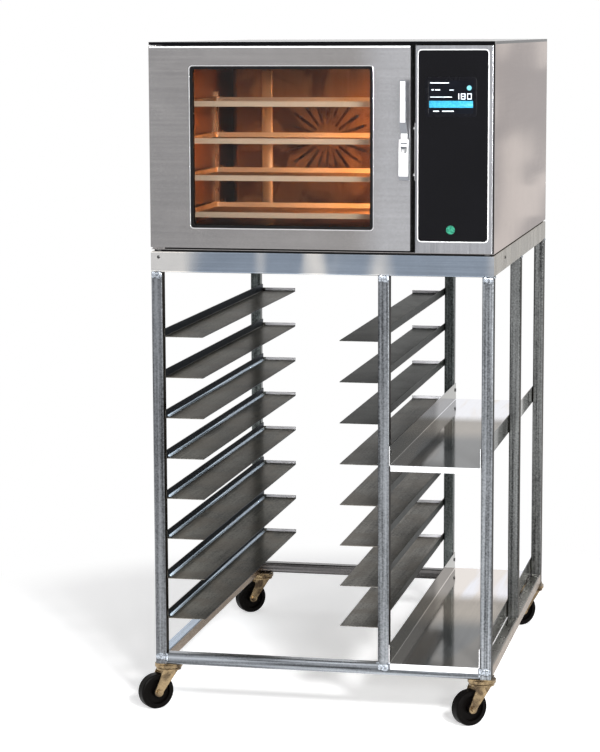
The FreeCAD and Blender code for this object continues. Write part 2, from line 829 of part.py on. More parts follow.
def heating_element():
    """A heater tube bent into a ring, with two legs through a terminal plate on the back wall."""
    parts = []
    middle = baffle_front + S.plenum * 0.5
    loop = doc.addObject("Part::Torus", "heater_loop")
    loop.Angle3 = 340
    bind(loop, "Radius1", S.heater_radius)
    bind(loop, "Radius2", S.heater_tube)
    loop.Placement = Placement(Vector(), Rotation(Vector(0, 1, 0), 100) * Rotation(Vector(1, 0, 0), 90))
    place(loop, chamber_middle, middle, fan_height)
    parts.append(loop)
    reach = S.plenum * 0.5 + S.sheet + S.insulation + S.heater_tube * 4
    for side in (-1, 1):
        leg = doc.addObject("Part::Cylinder", "heater_leg")
        bind(leg, "Radius", S.heater_tube)
        bind(leg, "Height", reach)
        leg.Placement = Placement(Vector(), Rotation(Vector(1, 0, 0), -90))
        place(leg, chamber_middle + heater_leg_x * side, middle, fan_height + heater_leg_z)
        elbow = doc.addObject("Part::Sphere", "heater_elbow")
        bind(elbow, "Radius", S.heater_tube)
        place(elbow, chamber_middle + heater_leg_x * side, middle, fan_height + heater_leg_z)
        parts += [leg, elbow]
    plate = doc.addObject("Part::Box", "heater_plate")
    wide, high = heater_leg_x * 2 + S.heater_tube * 6, S.heater_tube * 5
    bind(plate, "Length", wide)
    bind(plate, "Width", S.sheet * 2)
    bind(plate, "Height", high)
    place(plate, chamber_middle - wide / 2, liner_back - S.sheet * 2, fan_height + heater_leg_z - high / 2)
    fused = doc.addObject("Part::MultiFuse", "heating_element")
    fused.Label = "heating_element"
    fused.Shapes = parts + [plate]
    return node(fused)


def tray_racks():
    """A ladder of angle runners on two bars against each side wall."""
    body = new_body("tray_racks", chamber_middle, liner_front, chamber_base)
    wall, bar = -S.chamber_width / 2, (S.chamber_width - S.tray_width) / 4
    first, length = S.tray_first - S.chamber_floor, S.chamber_depth * 0.9
    start = S.chamber_depth * 0.05
    face = wall + bar
    edge, top = face + bar * 2.4, first + S.tray_height
    runner = Profile(body, "XZ_Plane", start).outline([
        (face, first - S.sheet, S.sheet), (edge, first - S.sheet), (edge, first),
        (face + S.sheet, first, S.sheet / 2), (face + S.sheet, top), (face, top)])
    runner.pad(length)
    repeat(body, "Z_Axis", S.tray_spacing * (S.tray_count - 1), S.tray_count)
    for y in (start + length * 0.12, start + length * 0.85):
        Profile(body, "XY_Plane").rect(wall, y, bar, bar * 1.5).pad(
            top + S.tray_spacing * (S.tray_count - 1) + S.tray_height)
    mirror(body, "YZ_Plane")
    return node(body)


def baking_trays():
    """Shallow pressed trays, one on each pair of runners."""
    front = liner_front + S.chamber_depth * 0.07
    body = new_body("baking_trays", chamber_middle, front, oven_base + S.tray_first)
    corner = S.tray_height * 0.8
    left, skin = S.tray_width / -2, S.sheet
    Profile(body, "XY_Plane").rect(left, 0, S.tray_width, S.tray_depth, corner).pad(S.tray_height)
    Profile(body, "XY_Plane", skin).rect(left + skin, skin, S.tray_width - 2 * skin, S.tray_depth - 2 * skin,
                                         corner - skin).cut(S.tray_height)
    repeat(body, "Z_Axis", S.tray_spacing * (S.tray_count - 1), S.tray_count)
    return node(body)


def cavity_lamps():
    """Two flat lamp glasses on the right wall."""
    thick = (S.chamber_width - S.tray_width) * 0.2
    body = new_body("cavity_lamps", S.chamber_left + S.chamber_width, liner_front, chamber_base)
    lamps = Profile(body, "YZ_Plane", -thick)
    for rise in (0.3, 0.76):
        lamps.circle(S.chamber_depth * 0.36, S.chamber_height * rise, S.tray_spacing * 0.28)
    lamps.pad(thick)
    return node(body)


def door_gasket():
    """A rubber frame round the chamber's mouth, just short of the closed door."""
    body = new_body("door_gasket", S.chamber_left, S.door_thickness + CLEAR, chamber_base)
    near, far = S.roof_gap, S.roof_gap + S.roof_lip * 1.5
    section = Profile(body, "XZ_Plane")
    for margin in (near, far):
        section.rect(-margin, -margin, S.chamber_width + 2 * margin, S.chamber_height + 2 * margin, margin)
    section.pad(S.door_gap - CLEAR)
    return node(body)


fan_baffle()
fan_wheel()
fan_shaft()
fan_motor()
heating_element()
tray_racks()
baking_trays()
cavity_lamps()
door_gasket()


# Door
door_inner = S.door_thickness - S.sheet
window_rise = oven_base + S.window_bottom - door_bottom
hinge_depth = S.door_thickness / 2
bush_radius = S.hinge_pin_radius * 1.6


def door_skin():
    """The outer door sheet with folded edges, the window opening and the holes for the hinge bushes."""
    body = new_body("door_skin", 0, 0, door_bottom)
    Profile(body, "XZ_Plane").rect(0, 0, S.door_width, door_height, S.sheet * 2).pad(door_inner)
    Profile(body, "XZ_Plane", S.sheet).rect(S.sheet, S.sheet, S.door_width - 2 * S.sheet,
                                            door_height - 2 * S.sheet, S.sheet).cut(S.door_thickness)
    Profile(body, "XZ_Plane").rect(S.window_left, window_rise, S.window_width, S.window_height,
                                   S.window_border).cut()
    Profile(body, "XY_Plane").circle(S.hinge_inset, hinge_depth, bush_radius + PLAY).cut()
    return node(body)


def door_inner_frame():
    """The inner door sheet that closes the folded skin round the inner pane."""
    body = new_body("door_inner_frame", 0, door_inner, door_bottom)
    Profile(body, "XZ_Plane").rect(0, 0, S.door_width, door_height, S.sheet * 2).pad(S.sheet)
    Profile(body, "XZ_Plane").rect(S.window_left, window_rise, S.window_width, S.window_height,
                                   S.window_border).cut()
    return node(body)


def window_seal():
    """A stepped rubber frame: it fills the edge of the window opening and spreads behind the skin."""
    body = new_body("window_seal", S.window_left, 0, door_bottom + window_rise)
    rim = S.window_border
    steps = ((0, S.sheet, -PLAY), (S.sheet, S.pane, rim * 1.5))
    for lift, thick, spread in steps:
        section = Profile(body, "XZ_Plane", lift)
        section.rect(-spread, -spread, S.window_width + 2 * spread, S.window_height + 2 * spread, rim)
        section.rect(rim, rim, S.window_width - 2 * rim, S.window_height - 2 * rim, rim * 0.6)
        section.pad(thick)
    return node(body)


def glass_pane(label, front):
    """A pane larger than the window opening."""
    margin = S.window_border * 1.5
    body = new_body(label, S.window_left - margin, front, door_bottom + window_rise - margin)
    Profile(body, "XZ_Plane").rect(0, 0, S.window_width + 2 * margin, S.window_height + 2 * margin,
                                   S.window_border).pad(S.pane)
    return node(body)


def hinge_bushes():
    """Flanged bushes in the top and bottom edges of the door."""
    body = new_body("hinge_bushes", S.hinge_inset, hinge_depth, door_bottom)
    bore, flange, deep = S.hinge_pin_radius + PLAY, S.hinge_pin_radius * 2.2, S.hinge_pin_radius * 2.5
    lower = [(bore, 0), (bush_radius, 0), (bush_radius, S.sheet), (flange, S.sheet), (flange, S.sheet * 2.5),
             (bush_radius, S.sheet * 2.5), (bush_radius, deep), (bore, deep)]
    section = Profile(body, "XZ_Plane")
    section.outline(lower)
    section.outline([(x, door_height - z) for x, z in lower])
    section.revolve()
    return node(body)


def hinge_brackets():
    """Plates above and below the door with the pivot pins, fixed to the front frame."""
    body = new_body("hinge_brackets", S.sheet, 0, hinge_seat)
    wide, front = S.hinge_inset * 2.5, hinge_depth - S.hinge_pin_radius * 2.5
    high = door_top + S.hinge_play - hinge_seat
    for rise in (0, high):
        Profile(body, "XY_Plane", rise).rect(0, front, wide, body_front - front, S.sheet).pad(S.hinge_plate)
    pin = S.hinge_play + S.hinge_pin_radius * 2
    for rise in (S.hinge_plate / 2, high - pin):
        Profile(body, "XY_Plane", rise).circle(S.hinge_inset - S.sheet, hinge_depth, S.hinge_pin_radius).pad(
            pin + S.hinge_plate / 2)
    return node(body)


door_skin()
door_inner_frame()
window_seal()
glass_pane("outer_glass", S.sheet + S.pane)
glass_pane("inner_glass", door_inner - S.pane)
hinge_bushes()
hinge_brackets()


# Latch: a body on the door, a pull lever on a pivot pin and a keeper on the column
latch_left = S.door_width - S.latch_width - 1
cheek = S.latch_width * 0.16
pivot_y, pivot_z = S.latch_reach * -0.54, S.latch_height * 0.86
pin_radius = S.latch_width * 0.115
hub_radius = S.latch_width * 0.34


def latch_body():
    """A housing with rounded shoulders and two cheeks that hold the lever's pivot pin."""
    body = new_body("latch_housing", latch_left, 0, oven_base + S.latch_bottom)
    deep, high = -S.latch_reach, S.latch_height
    Profile(body, "YZ_Plane").outline([
        (0, 0), (deep * 0.75, high * 0.03), (deep, high * 0.12), (deep, high * 0.68), (deep * 0.85, high),
        (0, high)]).pad(S.latch_width)
    Profile(body, "YZ_Plane", cheek).outline([
        (deep * 1.1, high * 0.68), (deep * 0.12, high * 0.68), (deep * 0.12, high * 1.1),
        (deep * 1.1, high * 1.1)]).cut(S.latch_width - 2 * cheek)
    Profile(body, "YZ_Plane").circle(pivot_y, pivot_z, pin_radius + PLAY).cut()
    pin = new_body("latch_pin", latch_left, 0, oven_base + S.latch_bottom)
    Profile(pin, "YZ_Plane").circle(pivot_y, pivot_z, pin_radius).pad(S.latch_width)
    return group("latch_body", [body, pin])


def latch_lever():
    """A bent lever: round hub on the pin, sloped neck and an upright grip with rounded edges."""
    play = CLEAR
    body = new_body("latch_lever", latch_left + cheek + play, 0, oven_base + S.latch_bottom)
    wide = S.latch_width - 2 * cheek - 2 * play
    neck = S.latch_width * 0.18
    thick = S.grip_reach * 0.22
    grip_foot = S.latch_height * 1.42
    bend = S.latch_height * 1.14
    Profile(body, "YZ_Plane").circle(pivot_y, pivot_z, hub_radius).pad(wide)
    outer, inner, tip = -S.grip_reach, thick - S.grip_reach, thick * 0.3
    Profile(body, "YZ_Plane").outline([
        (pivot_y - neck, pivot_z), (pivot_y - neck, bend), (outer, grip_foot), (outer, S.grip_top - tip),
        (outer + tip, S.grip_top), (inner - tip, S.grip_top), (inner, S.grip_top - tip),
        (inner, grip_foot + thick * 0.4), (pivot_y + neck, bend + thick * 0.4),
        (pivot_y + neck, pivot_z)]).pad(wide)
    Profile(body, "YZ_Plane").circle(pivot_y, pivot_z, pin_radius + PLAY).cut()
    doc.recompute()
    base, least = body.Tip, S.latch_height.value * 0.5
    long_edges = [f"Edge{index}" for index, edge in enumerate(base.Shape.Edges, start=1)
                  if edge.Length > least and abs(edge.BoundBox.ZLength - edge.Length) < 0.01]
    rounded = body.newObject("PartDesign::Fillet", "latch_lever_fillet")
    rounded.Base = (base, long_edges)
    bind(rounded, "Radius", S.grip_reach * 0.06)
    return node(body)


def latch_keeper():
    """A strike strip on the column beside the latch, with two round studs."""
    thick = S.column_gap * 0.15
    body = new_body("latch_keeper", column_left - thick, 0, oven_base + S.latch_bottom)
    front, high = S.door_thickness * 0.1, S.latch_height * 1.4
    Profile(body, "YZ_Plane").rect(front, 0, S.door_thickness * 0.3, high, S.sheet * 2).pad(thick)
    studs = Profile(body, "YZ_Plane", -S.column_gap * 0.3)
    for rise in (0.1, 0.9):
        studs.circle(S.door_thickness * 0.25, high * rise, S.door_thickness * 0.09)
    studs.pad(S.column_gap * 0.4)
    return node(body)


latch_body()
latch_lever()
latch_keeper()

# Control column
glass_left = column_left + (S.width - column_left - S.glass_width) * 0.33
glass_lift = S.pane * 0.75
fascia_right = S.width - S.sheet - S.roof_gap


def button_place(body_left):
    """Where the button's centre line crosses a face, from that face's left edge and the oven's base."""
    return glass_left + S.glass_width * 0.47 - body_left, S.button_rise


def control_fascia():
    """The folded front of the column, with openings behind the glass for the screen lead and the button."""
    body = new_body("control_fascia", column_left, 0, hinge_seat)
    wide = fascia_right - column_left
    skin, fold = S.sheet, body_front * 0.6
    Profile(body, "XY_Plane").outline([
        (0, 0, skin * 2), (wide, 0, skin * 2), (wide, fold), (wide - skin, fold), (wide - skin, skin, skin),
        (skin, skin, skin), (skin, body_front), (0, body_front)]).pad(door_top - hinge_seat)
    x, rise = button_place(column_left)
    Profile(body, "XZ_Plane").circle(x, rise - S.sheet, S.button_radius * 0.5 + CLEAR).cut(S.sheet * 2)
    return node(body)


def control_glass():
    """The dark glass panel with a window for the screen and a hole for the button."""
    body = new_body("control_glass", glass_left, -glass_lift, oven_base + S.glass_bottom)
    Profile(body, "XZ_Plane").rect(0, 0, S.glass_width, S.glass_height, S.roof_lip).pad(glass_lift)
    x, rise = button_place(glass_left)
    holes = Profile(body, "XZ_Plane")
    holes.rect(screen_x, S.display_bottom - S.glass_bottom, S.display_width, S.display_height)
    holes.circle(x, rise - S.glass_bottom, S.button_radius + CLEAR).cut()
    return node(body)


screen_x = S.glass_width * 0.47 - S.display_width / 2


def display():
    """The screen module, a hair below the glass face."""
    body = new_body("display", glass_left + screen_x, -glass_lift * 0.9, oven_base + S.display_bottom)
    Profile(body, "XZ_Plane").rect(0, 0, S.display_width, S.display_height).pad(glass_lift * 0.9)
    return node(body)


def power_button():
    """A round cap on a stem that slides through the fascia."""
    x, rise = button_place(0)
    front = glass_lift * 2.2
    body = new_body("power_button", x, -front, oven_base + rise)
    cap = front - S.sheet * 1.8
    edge = S.button_radius * 0.12
    stem, back = S.button_radius * 0.5, front + S.button_radius
    Profile(body, "XY_Plane").outline([
        (0, 0), (S.button_radius - edge, 0), (S.button_radius, edge), (S.button_radius, cap), (stem, cap),
        (stem, back), (0, back)]).revolve()
    return node(body)


def control_board():
    """The circuit board on four pillars behind the fascia, with its larger components."""
    body = new_body("control_board", glass_left, S.sheet, oven_base + S.glass_height * 0.25)
    wide, high = S.glass_width * 0.85, S.glass_height * 0.6
    stand = S.door_thickness * 0.3
    pillars = Profile(body, "XZ_Plane")
    for x in (0.06, 0.94):
        for z in (0.04, 0.96):
            pillars.circle(wide * x, high * z, S.sheet * 2)
    pillars.pad(stand)
    Profile(body, "XZ_Plane", stand).rect(0, 0, wide, high, S.sheet * 2).pad(S.sheet)
    chips = Profile(body, "XZ_Plane", stand + S.sheet)
    chips.rect(wide * 0.1, high * 0.1, wide * 0.3, high * 0.12)
    chips.rect(wide * 0.55, high * 0.1, wide * 0.3, high * 0.2)
    chips.rect(wide * 0.3, high * 0.55, wide * 0.4, high * 0.25)
    chips.pad(S.door_thickness * 0.2)
    return node(body)


control_fascia()
control_glass()
display()
power_button()
control_board()


# Services on the rear panel
def steam_outlet():
    """A flanged pipe stub for the steam duct."""
    body = new_body("steam_outlet", outlet_x, S.depth, oven_base + outlet_rise)
    bore, skin = S.outlet_radius * 0.88, S.sheet * 2
    Profile(body, "XY_Plane").outline([
        (bore, 0), (S.outlet_radius * 1.5, 0), (S.outlet_radius * 1.5, skin), (S.outlet_radius, skin),
        (S.outlet_radius, S.outlet_length), (bore, S.outlet_length)]).revolve()
    return node(body)


def cable_gland():
    """A hexagon body with a domed cap and a through bore for the supply cable."""
    body = new_body("cable_gland", gland_x, S.depth, oven_base + gland_rise)
    bore = S.gland_radius
    Profile(body, "XZ_Plane").hexagon(0, 0, bore * 2.2).circle(0, 0, bore).pad(bore)
    Profile(body, "XY_Plane").outline([
        (bore, bore * 0.5), (bore * 1.7, bore * 0.5), (bore * 1.7, bore * 2.4), (bore * 1.3, bore * 3),
        (bore, bore * 3)]).revolve()
    return node(body)


steam_outlet()
cable_gland()

# Check every object before anything is written
doc.recompute()
faults = [f"{item.Label}: {item.State}" for item in doc.Objects
          if any(word in item.State for word in ("Invalid", "Error"))]
for thing in nodes:
    if thing.Shape.isNull() or not thing.Shape.isValid() or not thing.Shape.Solids:
        faults.append(f"{thing.Label}: no valid solid")
if faults:
    raise RuntimeError("; ".join(faults))

os.makedirs("parts", exist_ok=True)
for thing in nodes:
    thing.Shape.exportStep(f"parts/{thing.Label}.step")
    box = thing.Shape.BoundBox
    spans = ((box.XMin, box.XMax), (box.YMin, box.YMax), (box.ZMin, box.ZMax))
    print(f"{thing.Label}: {len(thing.Shape.Solids)} solids, {thing.Shape.Volume / 1000:.1f} cm3,",
          ", ".join(f"{axis} {low:.1f} {high:.1f}" for axis, (low, high) in zip("xyz", spans)))
print(len(nodes), "sub-parts")
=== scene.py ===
"""Looks of the convection oven on its wheeled stand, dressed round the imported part."""

import logging
import math
from dataclasses import dataclass, replace
from enum import Enum
from typing import Mapping, Optional, Sequence, Union

import bmesh
import bpy
import numpy as np
from mathutils import Matrix, Vector


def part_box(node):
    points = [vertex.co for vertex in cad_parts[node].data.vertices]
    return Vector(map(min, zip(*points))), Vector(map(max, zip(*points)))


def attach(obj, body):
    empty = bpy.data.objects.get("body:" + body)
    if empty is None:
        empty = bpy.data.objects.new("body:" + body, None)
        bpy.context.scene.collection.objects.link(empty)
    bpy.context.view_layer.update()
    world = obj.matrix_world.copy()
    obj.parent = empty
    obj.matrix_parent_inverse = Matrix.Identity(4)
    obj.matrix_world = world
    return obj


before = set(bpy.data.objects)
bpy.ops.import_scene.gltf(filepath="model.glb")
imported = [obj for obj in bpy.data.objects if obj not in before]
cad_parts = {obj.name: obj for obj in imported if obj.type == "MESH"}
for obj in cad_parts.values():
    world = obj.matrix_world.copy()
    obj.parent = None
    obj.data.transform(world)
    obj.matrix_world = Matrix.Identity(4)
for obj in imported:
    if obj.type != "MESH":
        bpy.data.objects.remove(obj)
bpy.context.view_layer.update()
LOG = logging.getLogger("oven")
Pair = tuple[float, float]
Colour = tuple[float, float, float]
Value = Union["Wire", float, int, Sequence[float]]
WHITE: Colour = (1.0, 1.0, 1.0)
FRONT = np.array([0.0, -1.0, 0.0])
RIGHT = np.array([1.0, 0.0, 0.0])
UP = np.array([0.0, 0.0, 1.0])
WELD_STEP = 0.0010
WELD_WAVE = 0.003


class Wire:
    """An output socket that takes part in arithmetic, one Math node for each operation."""

    def __init__(self, graph: "Graph", socket: bpy.types.NodeSocket) -> None:
        """Keep the socket together with the graph that it belongs to."""
        self.graph = graph
        self.socket = socket

    def __add__(self, other: Value) -> "Wire":
        """Sum."""
        return self.graph.math("ADD", self, other)

    def __radd__(self, other: Value) -> "Wire":
        """Sum with a number on the left."""
        return self.graph.math("ADD", other, self)

    def __sub__(self, other: Value) -> "Wire":
        """Difference."""
        return self.graph.math("SUBTRACT", self, other)

    def __rsub__(self, other: Value) -> "Wire":
        """Difference with a number on the left."""
        return self.graph.math("SUBTRACT", other, self)

    def __mul__(self, other: Value) -> "Wire":
        """Product."""
        return self.graph.math("MULTIPLY", self, other)

    def __rmul__(self, other: Value) -> "Wire":
        """Product with a number on the left."""
        return self.graph.math("MULTIPLY", other, self)

    def __neg__(self) -> "Wire":
        """Opposite number."""
        return self.graph.math("MULTIPLY", self, -1.0)

    def smooth(self, low: float, high: float) -> "Wire":
        """Rise smoothly from 0 at low to 1 at high."""
        return self.graph.node("ShaderNodeMapRange", {"Value": self, "From Min": low, "From Max": high},
                               interpolation_type="SMOOTHSTEP")

    def clamp(self) -> "Wire":
        """Hold the value between 0 and 1."""
        return self.graph.node("ShaderNodeClamp", {"Value": self})

    def beside(self, name: str) -> "Wire":
        """Give another output of the same node."""
        return Wire(self.graph, self.socket.node.outputs[name])


class Graph:
    """A node tree with one method that makes any node."""

    def __init__(self, tree: bpy.types.NodeTree) -> None:
        """Start from an empty tree."""
        self.tree = tree
        tree.nodes.clear()

    def node(self, kind: str, inputs: Optional[Mapping[Union[str, int], Value]] = None, out: Union[str, int] = 0,
             **settings: object) -> Wire:
        """Add one node, set it up and link it.

        Args:
            kind: Blender's name for the node type.
            inputs: Values or wires by socket identifier, name or number.
            out: Name or number of the output that is wanted.
            **settings: Properties of the node.

        Returns:
            The wire from the wanted output.
        """
        item = self.tree.nodes.new(kind)
        for key, value in settings.items():
            setattr(item, key, value)
        for key, value in (inputs or {}).items():
            socket = self.socket(item, key)
            if isinstance(value, Wire):
                self.tree.links.new(value.socket, socket)
            else:
                socket.default_value = value
        return Wire(self, item.outputs[out])

    @staticmethod
    def socket(item: bpy.types.Node, key: Union[str, int]) -> bpy.types.NodeSocket:
        """Find an input by number, by identifier or else by name.

        Args:
            item: The node.
            key: Number, identifier or name of the input.

        Returns:
            The input socket.
        """
        if isinstance(key, int):
            return item.inputs[key]
        return next((s for s in item.inputs if s.identifier == key), None) or item.inputs[key]

    def math(self, operation: str, *values: Value) -> Wire:
        """Add one Math node."""
        return self.node("ShaderNodeMath", dict(enumerate(values)), operation=operation)

    def mix(self, factor: Value, first: Value, second: Value) -> Wire:
        """Blend two colours."""
        return self.node("ShaderNodeMix", {"Factor_Float": factor, "A_Color": rgba(first), "B_Color": rgba(second)},
                         out=2, data_type="RGBA")

    def noise(self, at: Wire, scale: float, detail: float = 3.0, distortion: float = 0.0) -> Wire:
        """Add a noise texture and give its factor."""
        return self.node("ShaderNodeTexNoise", {"Vector": at, "Scale": scale, "Detail": detail,
                                                "Distortion": distortion}, out="Fac")

    def place(self, scale: Colour = (1.0, 1.0, 1.0), turn: Colour = (0.0, 0.0, 0.0)) -> Wire:
        """Give object coordinates, stretched and turned."""
        spot = self.node("ShaderNodeTexCoord", out="Object")
        return self.node("ShaderNodeMapping", {"Vector": spot, "Scale": scale, "Rotation": turn})

    def along(self, axis: str) -> Wire:
        """Give the object coordinate along one axis."""
        return self.node("ShaderNodeSeparateXYZ", {"Vector": self.node("ShaderNodeTexCoord", out="Object")}, out=axis)

    def output(self, kind: str, shader: Wire) -> None:
        """Link a shader to a new output node."""
        self.tree.links.new(shader.socket, self.tree.nodes.new(kind).inputs["Surface"])

    def bump(self, height: Wire, strength: float, distance: float) -> Wire:
        """Turn a height into a normal."""
        return self.node("ShaderNodeBump", {"Height": height, "Strength": strength, "Distance": distance},
                         out="Normal")


def rgba(colour: Value) -> Value:
    """Give a plain colour its alpha and leave a wire as it is."""
    return colour if isinstance(colour, Wire) else (*colour[:3], 1.0)


def shade(colour: Colour, factor: float) -> Colour:
    """Multiply each part of a colour by a factor, up to 1."""
    return tuple(min(1.0, part * factor) for part in colour)


class Grain(Enum):
    """Direction of the brushing, as the stretch of the noise along each axis."""

    ALONG_X = (2.0, 150.0, 150.0)
    ALONG_Y = (150.0, 2.0, 150.0)
    ALONG_Z = (150.0, 150.0, 2.0)


@dataclass(frozen=True)
class Finish:
    """A finish that makes one material and hands it out again each time."""

    name: str

    def sockets(self, g: Graph) -> dict[str, Value]:
        """Work out what goes into the principled shader's sockets."""
        raise NotImplementedError

    def surface(self, g: Graph) -> Wire:
        """Make the shader that covers the surface."""
        return g.node("ShaderNodeBsdfPrincipled", self.sockets(g))

    def material(self) -> bpy.types.Material:
        """Make the material, or find it where it was made before.

        Returns:
            The material of this finish.
        """
        found = bpy.data.materials.get("look_" + self.name)
        if found:
            return found
        material = bpy.data.materials.new("look_" + self.name)
        material.use_nodes = True
        g = Graph(material.node_tree)
        g.output("ShaderNodeOutputMaterial", self.surface(g))
        return material


@dataclass(frozen=True)
class Steel(Finish):
    """Sheet or tube with brushing, cloudy rolling marks and handling smears; faces brighter or darker by their
    direction are painted light and shade.
    """

    colour: Colour
    roughness: float = 0.28
    grain: Grain = Grain.ALONG_X
    brushed: float = 0.7
    cloudy: float = 0.35
    smears: float = 0.12
    contrast: float = 0.28
    # This colour and the next four fields: blotches laid over the steel, real discolouring on some finishes and painted
    # reflection on others.
    stain_and_reflection: Colour = (0.0, 0.0, 0.0)
    stain_and_reflection_share: float = 0.0
    stain_and_reflection_scale: Colour = (6.0, 6.0, 6.0)
    stain_and_reflection_edge: Pair = (0.44, 0.60)
    stain_and_reflection_warp: float = 1.2
    speckle: float = 0.2
    # Colours of the faces that look along -Y and along X: painted light and shade.
    fronts: Colour | None = None
    front_turn: Pair = (0.75, 0.95)
    flanks: Colour | None = None
    flat_angle: float = 1.0
    flat_tint: Colour = WHITE
    # A colour that the steel passes into along one axis: a painted gradient of light and shade.
    painted_shading: Colour | None = None
    painted_shading_axis: str = "X"
    painted_shading_span: Pair = (0.0, 1.0)
    metallic: float = 1.0
    grit: float = 0.10
    relief: float = 0.06
    groove: float = 0.0004
    cloud_scale: float = 3.2
    smear_scale: float = 17.0
    spot_scale: float = 190.0
    side_turn: Pair = (0.75, 0.95)

    def streaked(self, g: Graph, tone: Wire, colour: Colour) -> Wire:
        """Swing a colour between its darker and its lighter shade."""
        return g.mix(tone, shade(colour, 1.0 - self.contrast), shade(colour, 1.0 + self.contrast))

    def paint_face_shading(self, g: Graph, colour: Wire) -> Wire:
        """Paint light and shade by giving the faces that look along -Y and along X their own colours.

        Args:
            g: The graph to add to.
            colour: Colour of the other faces.

        Returns:
            The colour of all faces.
        """
        turned = g.node("ShaderNodeTexCoord", out="Normal")
        sideways = g.node("ShaderNodeSeparateXYZ", {"Vector": turned}, out="X")
        if self.fronts:
            colour = g.mix((-sideways.beside("Y")).smooth(*self.front_turn), colour, self.fronts)
        if self.flanks:
            colour = g.mix(g.math("ABSOLUTE", sideways).smooth(*self.side_turn), colour, self.flanks)
        return colour

    def sockets(self, g: Graph) -> dict[str, Value]:
        """Darken and lighten the colour with the brushing, and roughen the smears; then lay blotches, a painted shading
        gradient and painted face shading over it.

        The tone is one half plus the weighted distance of each noise from its mean: the fine brushing, the slow clouds,
        the smears and the spots.

        Args:
            g: The graph to add to.

        Returns:
            Values and wires by socket.
        """
        at = g.place()
        fine = g.noise(g.place(self.grain.value), 1.0, 4.0)
        cloud = g.noise(at, self.cloud_scale, 2.0, 0.4)
        smear = g.noise(at, self.smear_scale, 4.0, 0.8)
        spots = g.noise(at, self.spot_scale, 2.0)
        tone = (fine - 0.5) * self.brushed + (cloud - 0.5) * self.cloudy + (smear - 0.5) * self.smears + 0.5
        tone = (tone + (spots - 0.5) * self.speckle).clamp()
        colour = self.streaked(g, tone, self.colour)
        # Blotches: real discolouring on some finishes, painted reflection on others.
        if self.stain_and_reflection_share:
            marks = g.noise(g.place(self.stain_and_reflection_scale), 1.0, 2.5 * self.stain_and_reflection_warp, self.stain_and_reflection_warp)
            colour = g.mix((marks.smooth(*self.stain_and_reflection_edge) * self.stain_and_reflection_share).clamp(), colour, self.stain_and_reflection)
        # Painted light and shade that grows along one axis.
        if self.painted_shading:
            along = g.along(self.painted_shading_axis).smooth(*self.painted_shading_span)
            colour = g.mix(along, colour, self.streaked(g, tone, self.painted_shading))
        # Painted light and shade by the direction of each face.
        if self.fronts or self.flanks:
            colour = self.paint_face_shading(g, colour)
        rough = (fine - 0.5) * self.grit + (smear - 0.5) * self.smears + self.roughness
        return {"Base Color": colour, "Metallic": self.metallic, "Roughness": rough.clamp(),
                "Specular Tint": rgba(shade(self.flat_tint, self.flat_angle)),
                "Normal": g.bump(fine, self.relief, self.groove)}


@dataclass(frozen=True)
class Faded(Finish):
    """Two finishes of one sheet that pass into each other along its depth; on the shelves this is a painted reflection,
    dark at the front and pale at the back.
    """

    near: Finish
    far: Finish
    span: Pair

    def surface(self, g: Graph) -> Wire:
        """Mix the two shaders by the place along Y.

        Args:
            g: The graph to add to.

        Returns:
            The wire of the shader.
        """
        depth = g.along("Y").smooth(*self.span)
        return g.node("ShaderNodeMixShader", {"Fac": depth, 1: self.near.surface(g), 2: self.far.surface(g)})


@dataclass(frozen=True)
class Plated(Finish):
    """Yellow zinc plate, with the faint rainbow and dull spots of the bath."""

    colour: Colour
    tint: Colour
    roughness: float = 0.36
    cloud_scale: float = 26.0
    speck_scale: float = 240.0
    cloud_edge: Pair = (0.35, 0.65)
    wear_edge: Pair = (0.58, 0.72)
    wear: float = 0.5
    worn_shade: float = 0.35
    metallic: float = 0.85
    pitting: Pair = (0.12, 0.0006)

    def sockets(self, g: Graph) -> dict[str, Value]:
        """Swing between the two colours of the bath and dull the worn spots.

        Args:
            g: The graph to add to.

        Returns:
            Values and wires by socket.
        """
        at = g.place()
        cloud = g.noise(at, self.cloud_scale, 4.0, 1.0)
        speck = g.noise(at, self.speck_scale, 2.0)
        colour = g.mix(cloud.smooth(*self.cloud_edge), self.colour, self.tint)
        worn = g.mix((speck.smooth(*self.wear_edge) * self.wear).clamp(), colour, shade(self.colour, self.worn_shade))
        return {"Base Color": worn, "Metallic": self.metallic, "Roughness": (speck - 0.5) * 0.2 + self.roughness,
                "Normal": g.bump(speck, *self.pitting)}


@dataclass(frozen=True)
class Moulded(Finish):
    """Rubber, plastic, wool or board: a matt body with a grain of its own and dust in places."""

    colour: Colour
    roughness: float = 0.5
    scale: float = 320.0
    depth: float = 0.1
    dust: float = 0.15
    metallic: float = 0.0
    level: float = 0.5
    swing: Pair = (0.7, 1.3)
    groove: float = 0.0008
    dust_colour: Colour = (0.30, 0.28, 0.25)
    dust_scale: float = 21.0
    dust_edge: Pair = (0.5, 0.8)

    def sockets(self, g: Graph) -> dict[str, Value]:
        """Lay pale dust over the body colour and follow the grain with the bump.

        Args:
            g: The graph to add to.

        Returns:
            Values and wires by socket.
        """
        at = g.place()
        speck = g.noise(at, self.scale, 3.0)
        cloud = g.noise(at, self.dust_scale, 4.0, 0.6)
        body = g.mix(speck, *(shade(self.colour, factor) for factor in self.swing))
        dusty = g.mix((cloud.smooth(*self.dust_edge) * self.dust).clamp(), body, self.dust_colour)
        return {"Base Color": dusty, "Metallic": self.metallic, "Roughness": (cloud - 0.5) * 0.3 + self.roughness,
                "Specular IOR Level": self.level, "Normal": g.bump(speck, self.depth, self.groove)}


